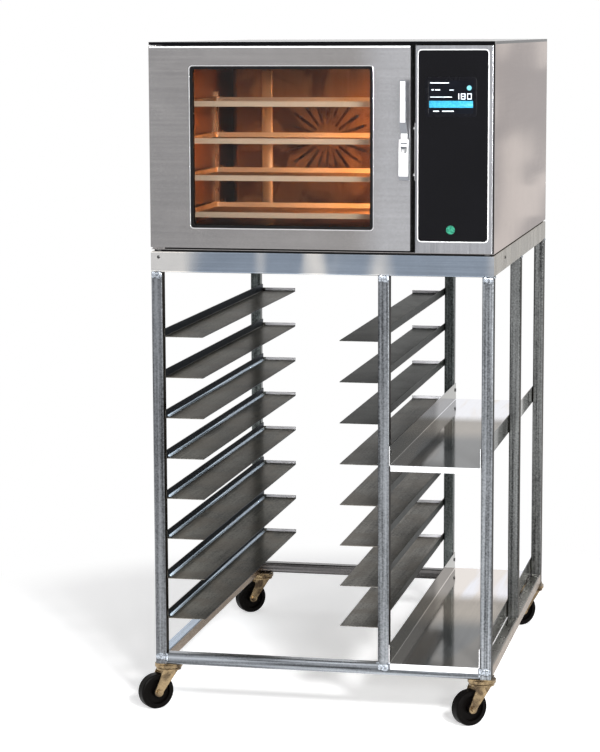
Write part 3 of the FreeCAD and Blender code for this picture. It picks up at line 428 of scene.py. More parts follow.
@dataclass(frozen=True)
class Pane(Finish):
    """Clear toughened glass: light goes through, and the sheen grows towards the edge of sight."""

    tint: Colour
    sheen: float = 0.15
    wiping: float = 0.3
    wipe_scale: Colour = (3.0, 3.0, 14.0)
    wipe_turn: Colour = (0.0, 0.5, 0.0)
    mirror: tuple[Colour, Colour] = ((0.86, 0.88, 0.90), (0.96, 0.96, 0.96))
    index: float = 1.45

    def surface(self, g: Graph) -> Wire:
        """Mix a clear layer and a glossy one by the glass's own reflectance.

        Args:
            g: The graph to add to.

        Returns:
            The wire of the shader.
        """
        wiped = g.noise(g.place(self.wipe_scale, self.wipe_turn), 2.0, 4.0, 0.6)
        clear = g.node("ShaderNodeBsdfTransparent", {"Color": rgba(self.tint)})
        gloss = g.node("ShaderNodeBsdfPrincipled", {
            "Base Color": g.mix(g.noise(g.place(), 5.0), *self.mirror), "Metallic": 1.0,
            "Roughness": wiped * 0.10 + 0.02})
        share = g.node("ShaderNodeFresnel", {"IOR": self.index}) * (wiped * self.wiping + self.sheen)
        return g.node("ShaderNodeMixShader", {"Fac": share.clamp(), 1: clear, 2: gloss})


@dataclass(frozen=True)
class Gloss(Finish):
    """Dark back-printed glass with finger marks that only show in the sheen."""

    colour: Colour
    level: float = 0.3
    roughness: float = 0.06
    swing: Pair = (0.6, 1.5)
    mark_scale: float = 34.0
    mark_edge: Pair = (0.45, 0.8)
    smudge: float = 0.12

    def sockets(self, g: Graph) -> dict[str, Value]:
        """Roughen the finger marks and lighten the print slightly in clouds.

        Args:
            g: The graph to add to.

        Returns:
            Values and wires by socket.
        """
        at = g.place()
        marks = g.noise(at, self.mark_scale, 5.0, 1.4)
        colour = g.mix(g.noise(at, 6.0), *(shade(self.colour, factor) for factor in self.swing))
        return {"Base Color": colour, "Roughness": marks.smooth(*self.mark_edge) * self.smudge + self.roughness,
                "Specular IOR Level": self.level}


@dataclass(frozen=True)
class Glow(Finish):
    """A lit cap, lamp glass or screen, brighter and duller in soft clouds."""

    colour: Colour
    edge: Colour
    strength: float
    scale: float = 30.0
    blend: Pair = (0.3, 0.7)
    roughness: float = 0.3
    level: float = 0.1

    def sockets(self, g: Graph) -> dict[str, Value]:
        """Blend the two colours of the light over the surface.

        Args:
            g: The graph to add to.

        Returns:
            Values and wires by socket.
        """
        colour = g.mix(g.noise(g.place(), self.scale, 2.0).smooth(*self.blend), self.edge, self.colour)
        return {"Base Color": colour, "Roughness": self.roughness, "Specular IOR Level": self.level,
                "Emission Color": colour, "Emission Strength": self.strength}


@dataclass(frozen=True)
class Ground(Finish):
    """A pale matt floor that keeps the shadow near the object and fades to plain white further out."""

    dark: Colour = (0.90, 0.90, 0.90)
    light: Colour = (0.93, 0.93, 0.93)
    lift: float = 0.43
    fade: Pair = (1.30, 1.75)

    def surface(self, g: Graph) -> Wire:
        """Lift the floor a little where it is looked at, and mix it with white by the distance from the middle.

        Args:
            g: The graph to add to.

        Returns:
            The wire of the shader.
        """
        seen = g.node("ShaderNodeLightPath", out="Is Camera Ray")
        looked_at = (seen + seen.beside("Is Glossy Ray") + seen.beside("Is Transmission Ray")).clamp()
        spot = g.node("ShaderNodeTexCoord", out="Object")
        far = g.node("ShaderNodeVectorMath", {0: spot}, out="Value", operation="LENGTH").smooth(*self.fade)
        matt = g.node("ShaderNodeBsdfDiffuse", {"Color": g.mix(g.noise(spot, 3.0), self.dark, self.light)})
        white = g.node("ShaderNodeEmission", {"Color": rgba(WHITE), "Strength": 1.0})
        lift = g.mix(looked_at, (0.0, 0.0, 0.0), (self.lift,) * 3)
        lifted = g.node("ShaderNodeEmission", {"Color": lift, "Strength": 1.0})
        near = g.node("ShaderNodeAddShader", {0: matt, 1: lifted})
        return g.node("ShaderNodeMixShader", {"Fac": looked_at * far, 1: near, 2: white})


FLOOR = Ground("floor")
# Posts: front, side and rear are lighter and darker copies of one steel, painted light and shade; the front posts
# lighten towards +X as painted light, and the dark side faces are painted shade.
TUBE_UP = Steel("tube_up", (0.19, 0.198, 0.21), 0.30, Grain.ALONG_Z, brushed=2.4, contrast=0.7, speckle=1.1,
                painted_shading=(0.265, 0.28, 0.298), painted_shading_span=(-0.30, 0.48), flanks=(0.06, 0.055, 0.048), flat_angle=0.35)
TUBE_SIDE = Steel("tube_side", (0.175, 0.18, 0.178), 0.30, Grain.ALONG_Z, brushed=2.4, contrast=0.8, speckle=1.2,
                  flanks=(0.09, 0.08, 0.065), flat_angle=0.35)
TUBE_REAR = Steel("tube_rear", (0.080, 0.090, 0.088), 0.34, Grain.ALONG_Z, brushed=2.0, contrast=0.8, speckle=1.6)
# Cross rails: darker towards the back along Y, painted shade.
TUBE_ACROSS = Steel("tube_across", (0.225, 0.24, 0.26), 0.28, brushed=3.0, contrast=0.8, speckle=0.3,
                    painted_shading=(0.12, 0.115, 0.115), painted_shading_axis="Y", painted_shading_span=(-0.3, 0.3))
# Side rails: pale blue passing into brown along X, with brown side faces: painted reflections.
TUBE_DEEP = Steel("tube_deep", (0.46, 0.55, 0.68), 0.28, Grain.ALONG_Y, contrast=0.5, speckle=0.8,
                  painted_shading=(0.25, 0.24, 0.22), painted_shading_span=(-0.2, 0.2), flanks=(0.25, 0.175, 0.11), flat_angle=0.8)
# Front and rear aprons: the blue tone and the whitish upright bands are painted reflections.
APRON_ACROSS = Steel("apron_across", (0.34, 0.40, 0.48), 0.20, stain_and_reflection=(0.98, 0.95, 0.90), stain_and_reflection_share=1.0,
                     stain_and_reflection_scale=(5.5, 5.5, 1.2), stain_and_reflection_edge=(0.44, 0.62), stain_and_reflection_warp=0.6)
# Side aprons: the brown tone and the paler brown blotches are painted reflections.
APRON_DEEP = Steel("apron_deep", (0.40, 0.36, 0.30), 0.24, Grain.ALONG_Y, speckle=0.8, stain_and_reflection=(0.58, 0.53, 0.45),
                   stain_and_reflection_share=0.6, stain_and_reflection_scale=(3.0, 9.0, 3.0), flat_angle=0.72)
# Runners: the dark webs are painted shade; the right runners are a lighter copy, painted light, and darken near the top
# as painted shade.
RUNNER = Steel("runner", (0.178, 0.172, 0.152), 0.34, Grain.ALONG_Y, brushed=1.4, contrast=0.7, cloudy=1.4,
               speckle=2.4, stain_and_reflection=(0.205, 0.178, 0.145), stain_and_reflection_share=0.5, flanks=(0.085, 0.095, 0.110), flat_angle=0.46)
RUNNER_RIGHT = replace(RUNNER, name="runner_right", colour=(0.225, 0.217, 0.20), painted_shading=(0.070, 0.073, 0.066),
                       painted_shading_axis="Z", painted_shading_span=(0.66, 0.80), flanks=(0.10, 0.103, 0.10))
# Shelves: a dark near part passing into a pale lavender far part, with beige streaks, near-white front lips and dark
# upstands: painted reflection, highlight and shade.
SHELF_NEAR = Steel("shelf_near", (0.21, 0.217, 0.223), 0.08, Grain.ALONG_Y, brushed=0.5, cloudy=0.6, smears=0.06,
                   stain_and_reflection=(0.31, 0.285, 0.255), stain_and_reflection_share=0.6, stain_and_reflection_scale=(7.0, 0.7, 3.0),
                   painted_shading=(0.58, 0.52, 0.45), painted_shading_axis="Y", painted_shading_span=(-0.22, 0.02), fronts=(0.97, 0.97, 0.99),
                   flanks=(0.085, 0.085, 0.072), flat_angle=0.50, metallic=0.72)
SHELF_FAR = Steel("shelf_far", (0.82, 0.82, 0.91), 0.08, Grain.ALONG_Y, brushed=0.5, smears=0.06, contrast=0.15,
                  stain_and_reflection=(0.72, 0.62, 0.52), stain_and_reflection_share=0.7, stain_and_reflection_scale=(9.0, 0.7, 3.0), flanks=(0.14, 0.135, 0.112))
SHELF = Faded("shelf", SHELF_NEAR, SHELF_FAR, (0.14, 0.30))
# Near-white plates on the runners' rear stops: painted highlight.
STOP_HIGHLIGHT = Steel("stop", (0.93, 0.93, 1.0), 0.45, brushed=0.2, contrast=0.1, metallic=0.1)
DARK_STEEL = Steel("dark_fastener", (0.07, 0.07, 0.07), 0.4)
WELD = Steel("weld", (0.36, 0.39, 0.43), 0.34, cloudy=0.8, speckle=2.6, contrast=0.8)
# Bright bluish strip in the runners' inner bends with dark front ends: painted highlight and painted shade.
BEND_HIGHLIGHT = Steel("bend", (0.56, 0.68, 0.84), 0.34, Grain.ALONG_Y, brushed=0.3, speckle=0.0, fronts=(0.06, 0.06, 0.06),
             relief=0.0)
ZINC = Plated("yellow_zinc", (0.34, 0.25, 0.14), (0.08, 0.055, 0.033), 0.26)
TREAD = Moulded("tread", (0.0025, 0.0020, 0.0018), 0.38, dust=0.004, level=0.05)
FOOT = Moulded("foot", (0.02, 0.02, 0.02), 0.7)
CASING = Steel("casing", (0.50, 0.475, 0.46), 0.24)
# Side panels: the grey blotches and the warm tint at grazing angles are painted reflections.
CASING_SIDE = Steel("casing_side", (0.51, 0.48, 0.462), 0.04, Grain.ALONG_Y, brushed=0.3, smears=0.03,
                    stain_and_reflection=(0.45, 0.425, 0.41), stain_and_reflection_share=0.6, stain_and_reflection_scale=(1.5, 1.6, 7.0), stain_and_reflection_warp=0.25,
                    flat_angle=0.78, flat_tint=(1.0, 0.905, 0.86), grit=0.02, relief=0.0)
# Roof: near-black front faces, a painted shadow line under its edge.
ROOF = Steel("roof", (0.42, 0.405, 0.395), 0.13, smears=0.03, fronts=(0.015, 0.015, 0.017),
             flat_angle=0.42, grit=0.04, relief=0.015)
# Front frame: near-black steel, painted shade of the gap round the door.
FRONT_FRAME_SHADE = Steel("front_frame", (0.035, 0.034, 0.033), 0.5, Grain.ALONG_Z, flat_angle=0.2)
FASCIA = Steel("fascia", (0.47, 0.475, 0.495), 0.24, Grain.ALONG_Z)
# Door skin: the lighter band towards +X is a painted reflection.
DOOR = Steel("door", (0.455, 0.435, 0.422), 0.22, brushed=0.26, cloudy=0.4, smears=0.08, speckle=0.3,
             painted_shading=(0.60, 0.60, 0.612), painted_shading_span=(0.08, 0.19))
# Chamber: darker towards the left wall along X, a painted shade; the dark blotches are heat discolouring.
CHAMBER = Steel("chamber", (0.43, 0.245, 0.13), 0.36, Grain.ALONG_Z, stain_and_reflection=(0.12, 0.055, 0.035), stain_and_reflection_share=0.75,
                painted_shading=(0.24, 0.13, 0.07), painted_shading_span=(-0.36, -0.42))
RACK = Steel("rack", (0.64, 0.52, 0.37), 0.28, Grain.ALONG_Z)
RIB = Steel("rib", (0.50, 0.43, 0.35), 0.45, Grain.ALONG_Z, metallic=0.5)
# Trays: the pale front faces are painted highlight; the brown blotches are baked-on marks.
TRAY = Steel("tray", (0.46, 0.34, 0.22), 0.50, stain_and_reflection=(0.20, 0.11, 0.05), stain_and_reflection_share=0.6, speckle=0.6,
             fronts=(0.74, 0.68, 0.58), metallic=0.45)
CHROME = Steel("chrome", (0.92, 0.92, 0.94), 0.16, Grain.ALONG_Z, brushed=0.1, cloudy=0.12)
# Latch: near-white front faces over dark sides, painted light and shade.
LATCH = Steel("latch", (0.20, 0.21, 0.23), 0.32, Grain.ALONG_Z, brushed=0.2, contrast=0.1,
              fronts=(0.98, 0.98, 0.98), front_turn=(0.90, 0.98), metallic=0.4)
# Pale matt bead for bright edge lines on the door top and round the control glass: painted highlight.
EDGE_HIGHLIGHT = Moulded("glass_edge_highlight", (0.90, 0.90, 0.92), 0.3, dust=0.0)
BRASS = Steel("brass", (0.62, 0.46, 0.20), 0.30, Grain.ALONG_Z)
HEATER = Steel("heater", (0.22, 0.18, 0.15), 0.5, stain_and_reflection=(0.30, 0.12, 0.05), stain_and_reflection_share=0.5)
MOTOR = Moulded("motor", (0.30, 0.31, 0.33), 0.45, metallic=0.8)
WOOL = Moulded("wool", (0.52, 0.44, 0.26), 0.95, 140.0, 0.8)
RUBBER = Moulded("rubber", (0.004, 0.004, 0.0045), 0.6, dust=0.02, level=0.1)
BOARD = Moulded("board", (0.03, 0.17, 0.07), 0.4, 60.0)
GLAND = Moulded("gland", (0.03, 0.03, 0.03), 0.5)
DOOR_GLASS = Pane("door_glass", (0.90, 0.88, 0.86))
PANEL_GLASS = Gloss("panel_glass", (0.0018, 0.0018, 0.0026), 0.20)
SCREEN_FRAME = Gloss("screen_frame", (0.0035, 0.0035, 0.005), 0.12, 0.25)
SCREEN = Glow("screen", (0.0025, 0.0032, 0.0055), (0.0012, 0.0016, 0.0030), 0.9, 18.0)
SCREEN_WHITE = Glow("screen_white", (0.80, 0.85, 0.90), (0.60, 0.68, 0.76), 0.8)
SCREEN_CYAN = Glow("screen_cyan", (0.045, 0.33, 0.48), (0.025, 0.22, 0.38), 0.5, 260.0)
SCREEN_ICON = Glow("screen_icon", (0.14, 0.40, 0.48), (0.10, 0.30, 0.40), 0.6)
BUTTON = Glow("button", (0.04, 0.26, 0.16), (0.010, 0.09, 0.06), 0.3, 300.0)
LAMP = Glow("lamp", (1.0, 0.74, 0.40), (1.0, 0.62, 0.28), 4.0)


def surfaces(name: str, grids: Sequence[np.ndarray], caps: bool) -> bpy.types.Mesh:
    """Make one mesh from surfaces that are grids of points.

    Each face joins two neighbours on one ring with the two at the same places on the next ring, and the last column
    joins the first.

    Args:
        name: Name of the mesh.
        grids: Rows by columns by three; each row is one ring.
        caps: Whether the first and last rings are closed with one face each.

    Returns:
        The mesh, not dressed yet.
    """
    faces: list[list[int]] = []
    count = 0
    for grid in grids:
        left = count + np.arange(grid.size // 3).reshape(grid.shape[:2])
        right = np.roll(left, -1, axis=1)
        faces += np.stack([left[:-1], right[:-1], right[1:], left[1:]], -1).reshape(-1, 4).tolist()
        faces += [left[0][::-1].tolist(), left[-1].tolist()] if caps else []
        count += left.size
    mesh = bpy.data.meshes.new(name)
    mesh.from_pydata(np.concatenate([grid.reshape(-1, 3) for grid in grids]).tolist(), [], faces)
    return mesh


def facing(rings: Sequence[np.ndarray], depths: Sequence[float]) -> np.ndarray:
    """Stand flat rings of x and z up, each at its own y."""
    return np.stack([np.column_stack([ring[:, 0], np.full(len(ring), y), ring[:, 1]])
                     for ring, y in zip(rings, depths)])


def rounded_loop(low: np.ndarray, high: np.ndarray, radius: float, steps: int = 6) -> np.ndarray:
    """Go round a rectangle with quarter circles at its corners, anticlockwise.

    Each point is a corner's centre plus the radius times the cosine and the sine of the turn.

    Args:
        low: Lower left corner.
        high: Upper right corner.
        radius: Corner radius.
        steps: Points on each quarter circle.

    Returns:
        One row of two numbers for each point.
    """
    turn = np.linspace(0.0, math.pi / 2, steps)
    centres = np.array([(high[0] - radius, high[1] - radius), (low[0] + radius, high[1] - radius),
                        (low[0] + radius, low[1] + radius), (high[0] - radius, low[1] + radius)])
    angles = turn[None, :] + (np.arange(4) * math.pi / 2)[:, None]
    return (centres[:, None, :] + radius * np.stack([np.cos(angles), np.sin(angles)], -1)).reshape(-1, 2)


def front_ring(low: np.ndarray, high: np.ndarray, face: float, corner: float, width: float,
               rise: float) -> np.ndarray:
    """Sweep a half-round bead round a rectangle on a face that looks along -Y.

    The bead's section is half an ellipse: its width lies in the face and its height stands out of it. Each ring of
    the section is a rounded rectangle that grows by the section's own offset. The back sinks in by a little.

    Args:
        low: Lower left inner corner in x and z.
        high: Upper right inner corner in x and z.
        face: The y of the face.
        corner: Inner corner radius.
        width: Width of the bead.
        rise: How far the bead stands out.

    Returns:
        Rows round the section by columns round the rectangle.
    """
    angle = np.linspace(0.0, 2.0 * math.pi, 13)
    offset = width / 2 - width / 2 * np.cos(angle)
    height = face - rise * np.maximum(np.sin(angle), -0.05)
    return facing([rounded_loop(low - out, high + out, corner + out) for out in offset], height)


def front_slab(low: np.ndarray, high: np.ndarray, face: float, corner: float, rise: float) -> np.ndarray:
    """Raise a flat plate with rounded corners and a small chamfer on a face that looks along -Y.

    Three rings make the edge: the foot, the start of the chamfer at seven tenths of the height, and the top, which is
    drawn in by three tenths of the height.

    Args:
        low: Lower left corner in x and z.
        high: Upper right corner in x and z.
        face: The y of the face.
        corner: Corner radius.
        rise: How far the plate stands out.

    Returns:
        Rows from the foot to the top by columns round the edge.
    """
    rings = [rounded_loop(low + rise * inset, high - rise * inset, max(corner - rise * inset, 1e-5), 4)
             for inset in (0.0, 0.0, 0.3)]
    return facing(rings, [face - rise * up for up in (0.0, 0.7, 1.0)])


def bead(start: np.ndarray, end: np.ndarray, out: np.ndarray, radius: float, rise: float, seed: int) -> np.ndarray:
    """Lay one weld bead along a line.

    The radius ripples with a sine of about one wave to each 3 mm, swells and shrinks slowly with a second sine, and
    falls to a third at both ends. The section is flattened against the direction that points out of the joint.

    Args:
        start: First end of the line.
        end: Other end.
        out: Unit vector out of the joint.
        radius: Half the width of the bead.
        rise: Height of the bead over half its width.
        seed: Shifts the ripples so that no two beads are alike.

    Returns:
        Rows along the line by columns round the section.
    """
    length = np.linalg.norm(end - start)
    side = np.cross((end - start) / length, out)
    t = np.linspace(0.0, 1.0, max(9, int(length / WELD_STEP)))
    wave = 1.0 + 0.16 * np.sin(2 * math.pi * t * length / WELD_WAVE + seed) + 0.14 * np.sin(9.0 * t + 1.7 * seed)
    taper = np.minimum(1.0, 0.35 + 6.0 * np.minimum(t, 1.0 - t))
    angle = np.linspace(0.0, 2 * math.pi, 9)[:-1]
    ring = np.cos(angle)[:, None] * side + rise * np.sin(angle)[:, None] * out
    return (start + np.outer(t, end - start))[:, None, :] + (radius * wave * taper)[:, None, None] * ring[None]


def dome(centre: np.ndarray, out: np.ndarray, radius: float, rise: float) -> np.ndarray:
    """Make a domed head whose rings shrink with the cosine while they rise with the sine.

    Args:
        centre: Middle of its foot.
        out: Unit vector out of an upright surface.
        radius: Radius of the foot.
        rise: Height of the dome.

    Returns:
        Rows from the foot to the top by columns round it.
    """
    first = np.cross(out, UP)
    second = np.cross(out, first)
    lift = np.linspace(0.0, math.pi / 2 * 0.93, 6)
    angle = np.linspace(0.0, 2 * math.pi, 17)[:-1]
    round_ = np.cos(angle)[:, None] * first + np.sin(angle)[:, None] * second
    return centre + radius * np.cos(lift)[:, None, None] * round_[None] + rise * np.sin(lift)[:, None, None] * out


def area_lamp(name: str, spot: Sequence[float], aim: Sequence[float], size: Pair, power: float,
              colour: Colour = WHITE) -> None:
    """Place one rectangular lamp.

    Args:
        name: Name of the lamp.
        spot: Where it sits.
        aim: The direction that it shines in.
        size: Width and height of the lamp.
        power: Watts.
        colour: Colour of its light.
    """
    data = bpy.data.lights.new(name, "AREA")
    data.shape = "RECTANGLE"
    data.size, data.size_y = size
    data.color = colour
    data.energy = power
    item = bpy.data.objects.new(name, data)
    item.location = spot
    item.rotation_euler = Vector(aim).to_track_quat("-Z", "Y").to_euler()
    bpy.context.scene.collection.objects.link(item)


@dataclass
class SubAssembly:
    """A group of nodes of the part with their finishes, and the pieces that are added to them."""

    body: str = "oven_and_stand"

    def finishes(self) -> dict[str, Finish]:
        """Say which finish covers each node."""
        return {}

    def detail(self) -> None:
        """Add the pieces that only the scene has."""

    def build(self) -> None:
        """Dress the nodes, then add the pieces."""
        for name, finish in self.finishes().items():
            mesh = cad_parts[name].data
            mesh.materials.clear()
            mesh.materials.append(finish.material())
            LOG.info("node %s gets %s", name, finish.name)
        self.detail()

    def piece(self, name: str, finish: Finish, *grids: np.ndarray, caps: bool = True) -> None:
        """Add one piece that is made of surfaces and rides on this sub-assembly's body.

        Args:
            name: Name of the piece.
            finish: What covers it.
            *grids: Its surfaces, as rows by columns of points.
            caps: Whether the first and last rings of the surfaces are closed.
        """
        body = self.body
        mesh = surfaces(name, grids, caps)
        made = bmesh.new()
        made.from_mesh(mesh)
        bmesh.ops.recalc_face_normals(made, faces=made.faces[:])
        made.to_mesh(mesh)
        made.free()
        mesh.polygons.foreach_set("use_smooth", np.full(len(mesh.polygons), True))
        mesh.materials.append(finish.material())
        piece = bpy.data.objects.new(name, mesh)
        bpy.context.scene.collection.objects.link(piece)
        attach(piece, body)
        LOG.info("piece %s on %s, %d faces", name, body, len(mesh.polygons))

    @staticmethod
    def span(node: str) -> tuple[np.ndarray, np.ndarray]:
        """Give a node's lowest and highest corner."""
        low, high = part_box(node)
        return np.array(low), np.array(high)


@dataclass
class Stand(SubAssembly):
    """Square tubes, aprons, runners and shelves, with their welds. A plate or bolt is its radius and its rise."""

    weld_radius: float = 0.0042
    weld_rise: float = 0.6
    weld_patch: float = 0.010
    patch_rise: float = 0.16
    patch_inset: float = 0.001
    patch_drop: float = 0.002
    below_apron: float = 0.007
    below_rail: float = 0.010
    above_foot: float = 0.004
    side_inset: float = 0.003
    side_share: float = 0.8
    # Number of lower levels that get the painted highlight strip in the bend.
    highlight_levels: int = 6
    levels: int = 8
    sheet: float = 0.002
    runner_height: float = 0.024
    bend_radius: float = 0.0055
    bend_start: float = 0.020
    bend_bite: float = 0.0004
    stop_foot: float = 0.0015
    stop_height: float = 0.0095
    stop_gaps: Pair = (0.010, 0.001)
    stop_plate: Pair = (0.0008, 0.0004)
    bolt: Pair = (0.0048, 0.0022)
    front_bolt: Pair = (0.022, 0.016)
    side_bolt: Pair = (0.240, 0.024)

    def finishes(self) -> dict[str, Finish]:
        """Brush each tube and sheet along its length.

        Returns:
            The finish of each node by its name.
        """
        fronts = {f"{post}_post": TUBE_UP for post in ("front_left", "front_mid", "front_right")}
        sides = {f"{post}_post": TUBE_SIDE for post in ("side_mid", "rear_right")}
        rears = {f"{post}_post": TUBE_REAR for post in ("rear_left", "rear_mid")}
        return {**fronts, **sides, **rears, "cross_rails": TUBE_ACROSS, "side_rails": TUBE_DEEP,
                "cross_aprons": APRON_ACROSS, "side_aprons": APRON_DEEP, "left_pan_slides": RUNNER,
                "right_pan_slides": RUNNER_RIGHT, "upper_shelf": SHELF, "lower_shelf": SHELF,
                "shelf_rivets": DARK_STEEL}

    def bends(self) -> None:
        """Line the inner corner of the lower runners with a bright round strip at the bend as painted highlight, and
        face all rear stops with pale plates as painted highlight.

        The section of the round is a hollow quarter circle between web and foot, closed by a point that goes a little
        into the sheet, and it is carried along Y.
        """
        turn = np.linspace(0.0, math.pi / 2, 7)
        across = np.append(self.bend_radius * (1.0 - np.cos(turn)), -self.bend_bite)
        rise = np.append(self.bend_radius * (1.0 - np.sin(turn)), -self.bend_bite)
        bends: list[np.ndarray] = []
        stops: list[np.ndarray] = []
        for node, inward in (("left_pan_slides", 1), ("right_pan_slides", -1)):
            low, high = self.span(node)
            rear = high[1] - self.sheet
            web = low[0] + self.sheet if inward > 0 else high[0] - self.sheet
            left, right = self.stop_gaps[::inward]
            feet = np.linspace(low[2], high[2] - self.runner_height, self.levels) + self.sheet
            for level, foot in enumerate(feet):
                # Only the lower levels get the bright strip, a painted highlight.
                if level < self.highlight_levels:
                    bends.append(np.stack([
                        np.column_stack([web + inward * across, np.full(len(across), y), foot + rise])
                        for y in (low[1] + self.bend_start, rear)]))
                # A pale plate on each rear stop, a painted highlight.
                stops.append(front_slab(np.array([low[0] + left, foot + self.stop_foot]),
                                        np.array([high[0] - right, foot + self.stop_height]), rear, *self.stop_plate))
        self.piece("runner_bend_highlights", BEND_HIGHLIGHT, *bends)
        self.piece("runner_stop_highlights", STOP_HIGHLIGHT, *stops)

    def welds(self) -> None:
        """Weld the front posts to apron and rail, with flat patches and upright beads, and the right ones on top."""
        rail_top = self.span("cross_rails")[1][2]
        posts = ("front_left_post", "front_mid_post", "front_right_post")
        lines: list[tuple] = []
        for post in posts:
            low, high = self.span(post)
            for z in (high[2] - self.below_apron, rail_top - self.below_rail):
                lines.append(((low[0] + self.patch_inset, low[1], z),
                              (high[0] - self.patch_inset, low[1], z - self.patch_drop),
                              FRONT, self.weld_patch, self.patch_rise))
            for x, outermost in ((low[0], posts[0]), (high[0], posts[-1])):
                if post != outermost:
                    lines.append(((x, low[1], low[2] + self.above_foot), (x, low[1], rail_top), FRONT,
                                  self.weld_radius, self.weld_rise))
        for post in ("front_right_post", "side_mid_post", "rear_right_post"):
            low, high = self.span(post)
            lines.append(((high[0], low[1] + self.side_inset, high[2]), (high[0], high[1] - self.side_inset, high[2]),
                          RIGHT, self.weld_radius * self.side_share, self.weld_rise))
        self.piece("weld_beads", WELD, *(bead(np.array(start), np.array(end), out, radius, rise, seed)
                                         for seed, (start, end, out, radius, rise) in enumerate(lines, 1)))

    def detail(self) -> None:
        """Paint highlights along the bends and on the stops, weld the posts, and bolt the aprons at two corners."""
        self.bends()
        self.welds()
        low, high = self.span("cross_aprons")
        side = self.span("side_aprons")[1]
        spots = ((np.array([low[0] + self.front_bolt[0], low[1], high[2] - self.front_bolt[1]]), FRONT),
                 (np.array([side[0], low[1] + self.side_bolt[0], high[2] - self.side_bolt[1]]), RIGHT))
        self.piece("apron_bolts", DARK_STEEL, *(dome(spot, out, *self.bolt) for spot, out in spots))


@dataclass
class Castors(SubAssembly):
    """Zinc-plated swivel castors with black wheels."""

    corners: tuple[str, ...] = ("front_left", "front_right", "rear_left", "rear_right")

    def finishes(self) -> dict[str, Finish]:
        """Plate the metal and blacken the wheels.

        Returns:
            The finish of each node by its name.
        """
        forks = {f"{corner}_fork": ZINC for corner in self.corners}
        wheels = {f"{corner}_wheel": TREAD for corner in self.corners}
        return {"castor_plates": ZINC, **forks, **wheels}


@dataclass
class Casing(SubAssembly):
    """The oven's outer sheets, its feet and its rear services."""

    set_back: float = 0.007
    strip_width: float = 0.004
    strip_corners: Pair = (0.004, 0.002)

    def finishes(self) -> dict[str, Finish]:
        """Brush the sheets along their longer side.

        Returns:
            The finish of each node by its name.
        """
        return {"oven_feet": FOOT, "base_pan": CASING, "roof_panel": ROOF, "left_side_panel": CASING_SIDE,
                "right_side_panel": CASING_SIDE, "rear_panel": CASING, "front_frame": FRONT_FRAME_SHADE,
                "hinge_brackets": CASING, "steam_outlet": CASING, "cable_gland": GLAND, "insulation_jacket": WOOL}

    def detail(self) -> None:
        """Paint the shade of the gap between the base and the stand with a dark strip all round, set back from the
        faces.

        The strip goes round an outer and an inner rounded rectangle, each at the apron's top and at the pan's foot.
        """
        low, high = self.span("base_pan")
        top = self.span("cross_aprons")[1][2]
        outer, inner = (rounded_loop(low[:2] + self.set_back + inset, high[:2] - self.set_back - inset, corner)
                        for inset, corner in zip((0.0, self.strip_width), self.strip_corners))
        self.piece("base_shade_strip", RUBBER, np.stack([
            np.column_stack([loop, np.full(len(loop), z)])
            for loop, z in ((outer, top), (outer, low[2]), (inner, low[2]), (inner, top), (outer, top))]), caps=False)


@dataclass
class Chamber(SubAssembly):
    """The lit baking chamber with its racks, trays, fan and lamps. A plate is its corner radius and its rise."""

    glow: Colour = (1.0, 0.46, 0.15)
    power: float = 6.8
    rises: tuple[Pair, ...] = ((0.16, 1.0), (0.38, 1.1), (0.60, 1.0), (0.86, 0.4))
    lamp_inset: float = 0.010
    lamp_size: Pair = (0.30, 0.03)
    lamp_aim: Colour = (-1.0, 0.25, 0.0)
    rib_spot: Pair = (0.080, 0.006)
    rib_width: float = 0.033
    rib_head: float = 0.032
    rib_plate: Pair = (0.003, 0.006)

    def finishes(self) -> dict[str, Finish]:
        """Tint the steel with heat and darken its left side as painted shade, mark the trays with baked-on brown and
        lighten their front faces as painted highlight.

        Returns:
            The finish of each node by its name.
        """
        return {"cavity_liner": CHAMBER, "fan_baffle": CHAMBER, "tray_racks": RACK, "fan_wheel": CHAMBER,
                "fan_shaft": CHAMBER, "fan_motor": MOTOR, "heating_element": HEATER, "baking_trays": TRAY,
                "cavity_lamps": LAMP, "door_gasket": RUBBER}

    def detail(self) -> None:
        """Light each baking level from the right wall, and rib the baffle."""
        low, high = self.span("cavity_liner")
        trays = self.span("baking_trays")[1]
        for level, (rise, share) in enumerate(self.rises):
            spot = (high[0] - self.lamp_inset, (low[1] + trays[1]) / 2, low[2] + (high[2] - low[2]) * rise)
            area_lamp(f"chamber_lamp_{level}", spot, self.lamp_aim, self.lamp_size, self.power * share, self.glow)
        wall = self.span("fan_baffle")[0]
        foot = np.array([wall[0], low[2]]) + self.rib_spot
        head = np.array([foot[0] + self.rib_width, high[2] - self.rib_head])
        self.piece("baffle_rib", RIB, front_slab(foot, head, wall[1], *self.rib_plate))


@dataclass
class Door(SubAssembly):
    """The glazed door with its seal and a light edge, which is its corner radius, width and rise."""

    body: str = "door"
    rim: float = 0.012
    edge: tuple[float, float, float] = (0.008, 0.0028, 0.0009)
    # The lip is a pale strip along the top of the door, a painted highlight.
    lip_start: Pair = (0.002, -0.005)
    lip_inset: float = 0.001
    lip_plate: Pair = (0.001, 0.0006)

    def finishes(self) -> dict[str, Finish]:
        """Brush the skin across and glaze the window."""
        return {"door_skin": DOOR, "door_inner_frame": CASING, "window_seal": RUBBER, "outer_glass": DOOR_GLASS,
                "inner_glass": DOOR_GLASS, "hinge_bushes": BRASS}

    def detail(self) -> None:
        """Run a thin bright chrome edge round the window opening, and a pale strip along the top as a painted
        highlight.
        """
        skin_low, skin_high = self.span("door_skin")
        face = skin_low[1]
        low, high = (corner[[0, 2]] for corner in self.span("outer_glass"))
        self.piece("window_edge", CHROME, front_ring(low + self.rim, high - self.rim, face, *self.edge), caps=False)
        start = np.array([skin_low[0], skin_high[2]]) + self.lip_start
        end = skin_high[[0, 2]] - self.lip_inset
        self.piece("door_lip_highlight", EDGE_HIGHLIGHT, front_slab(start, end, face, *self.lip_plate))


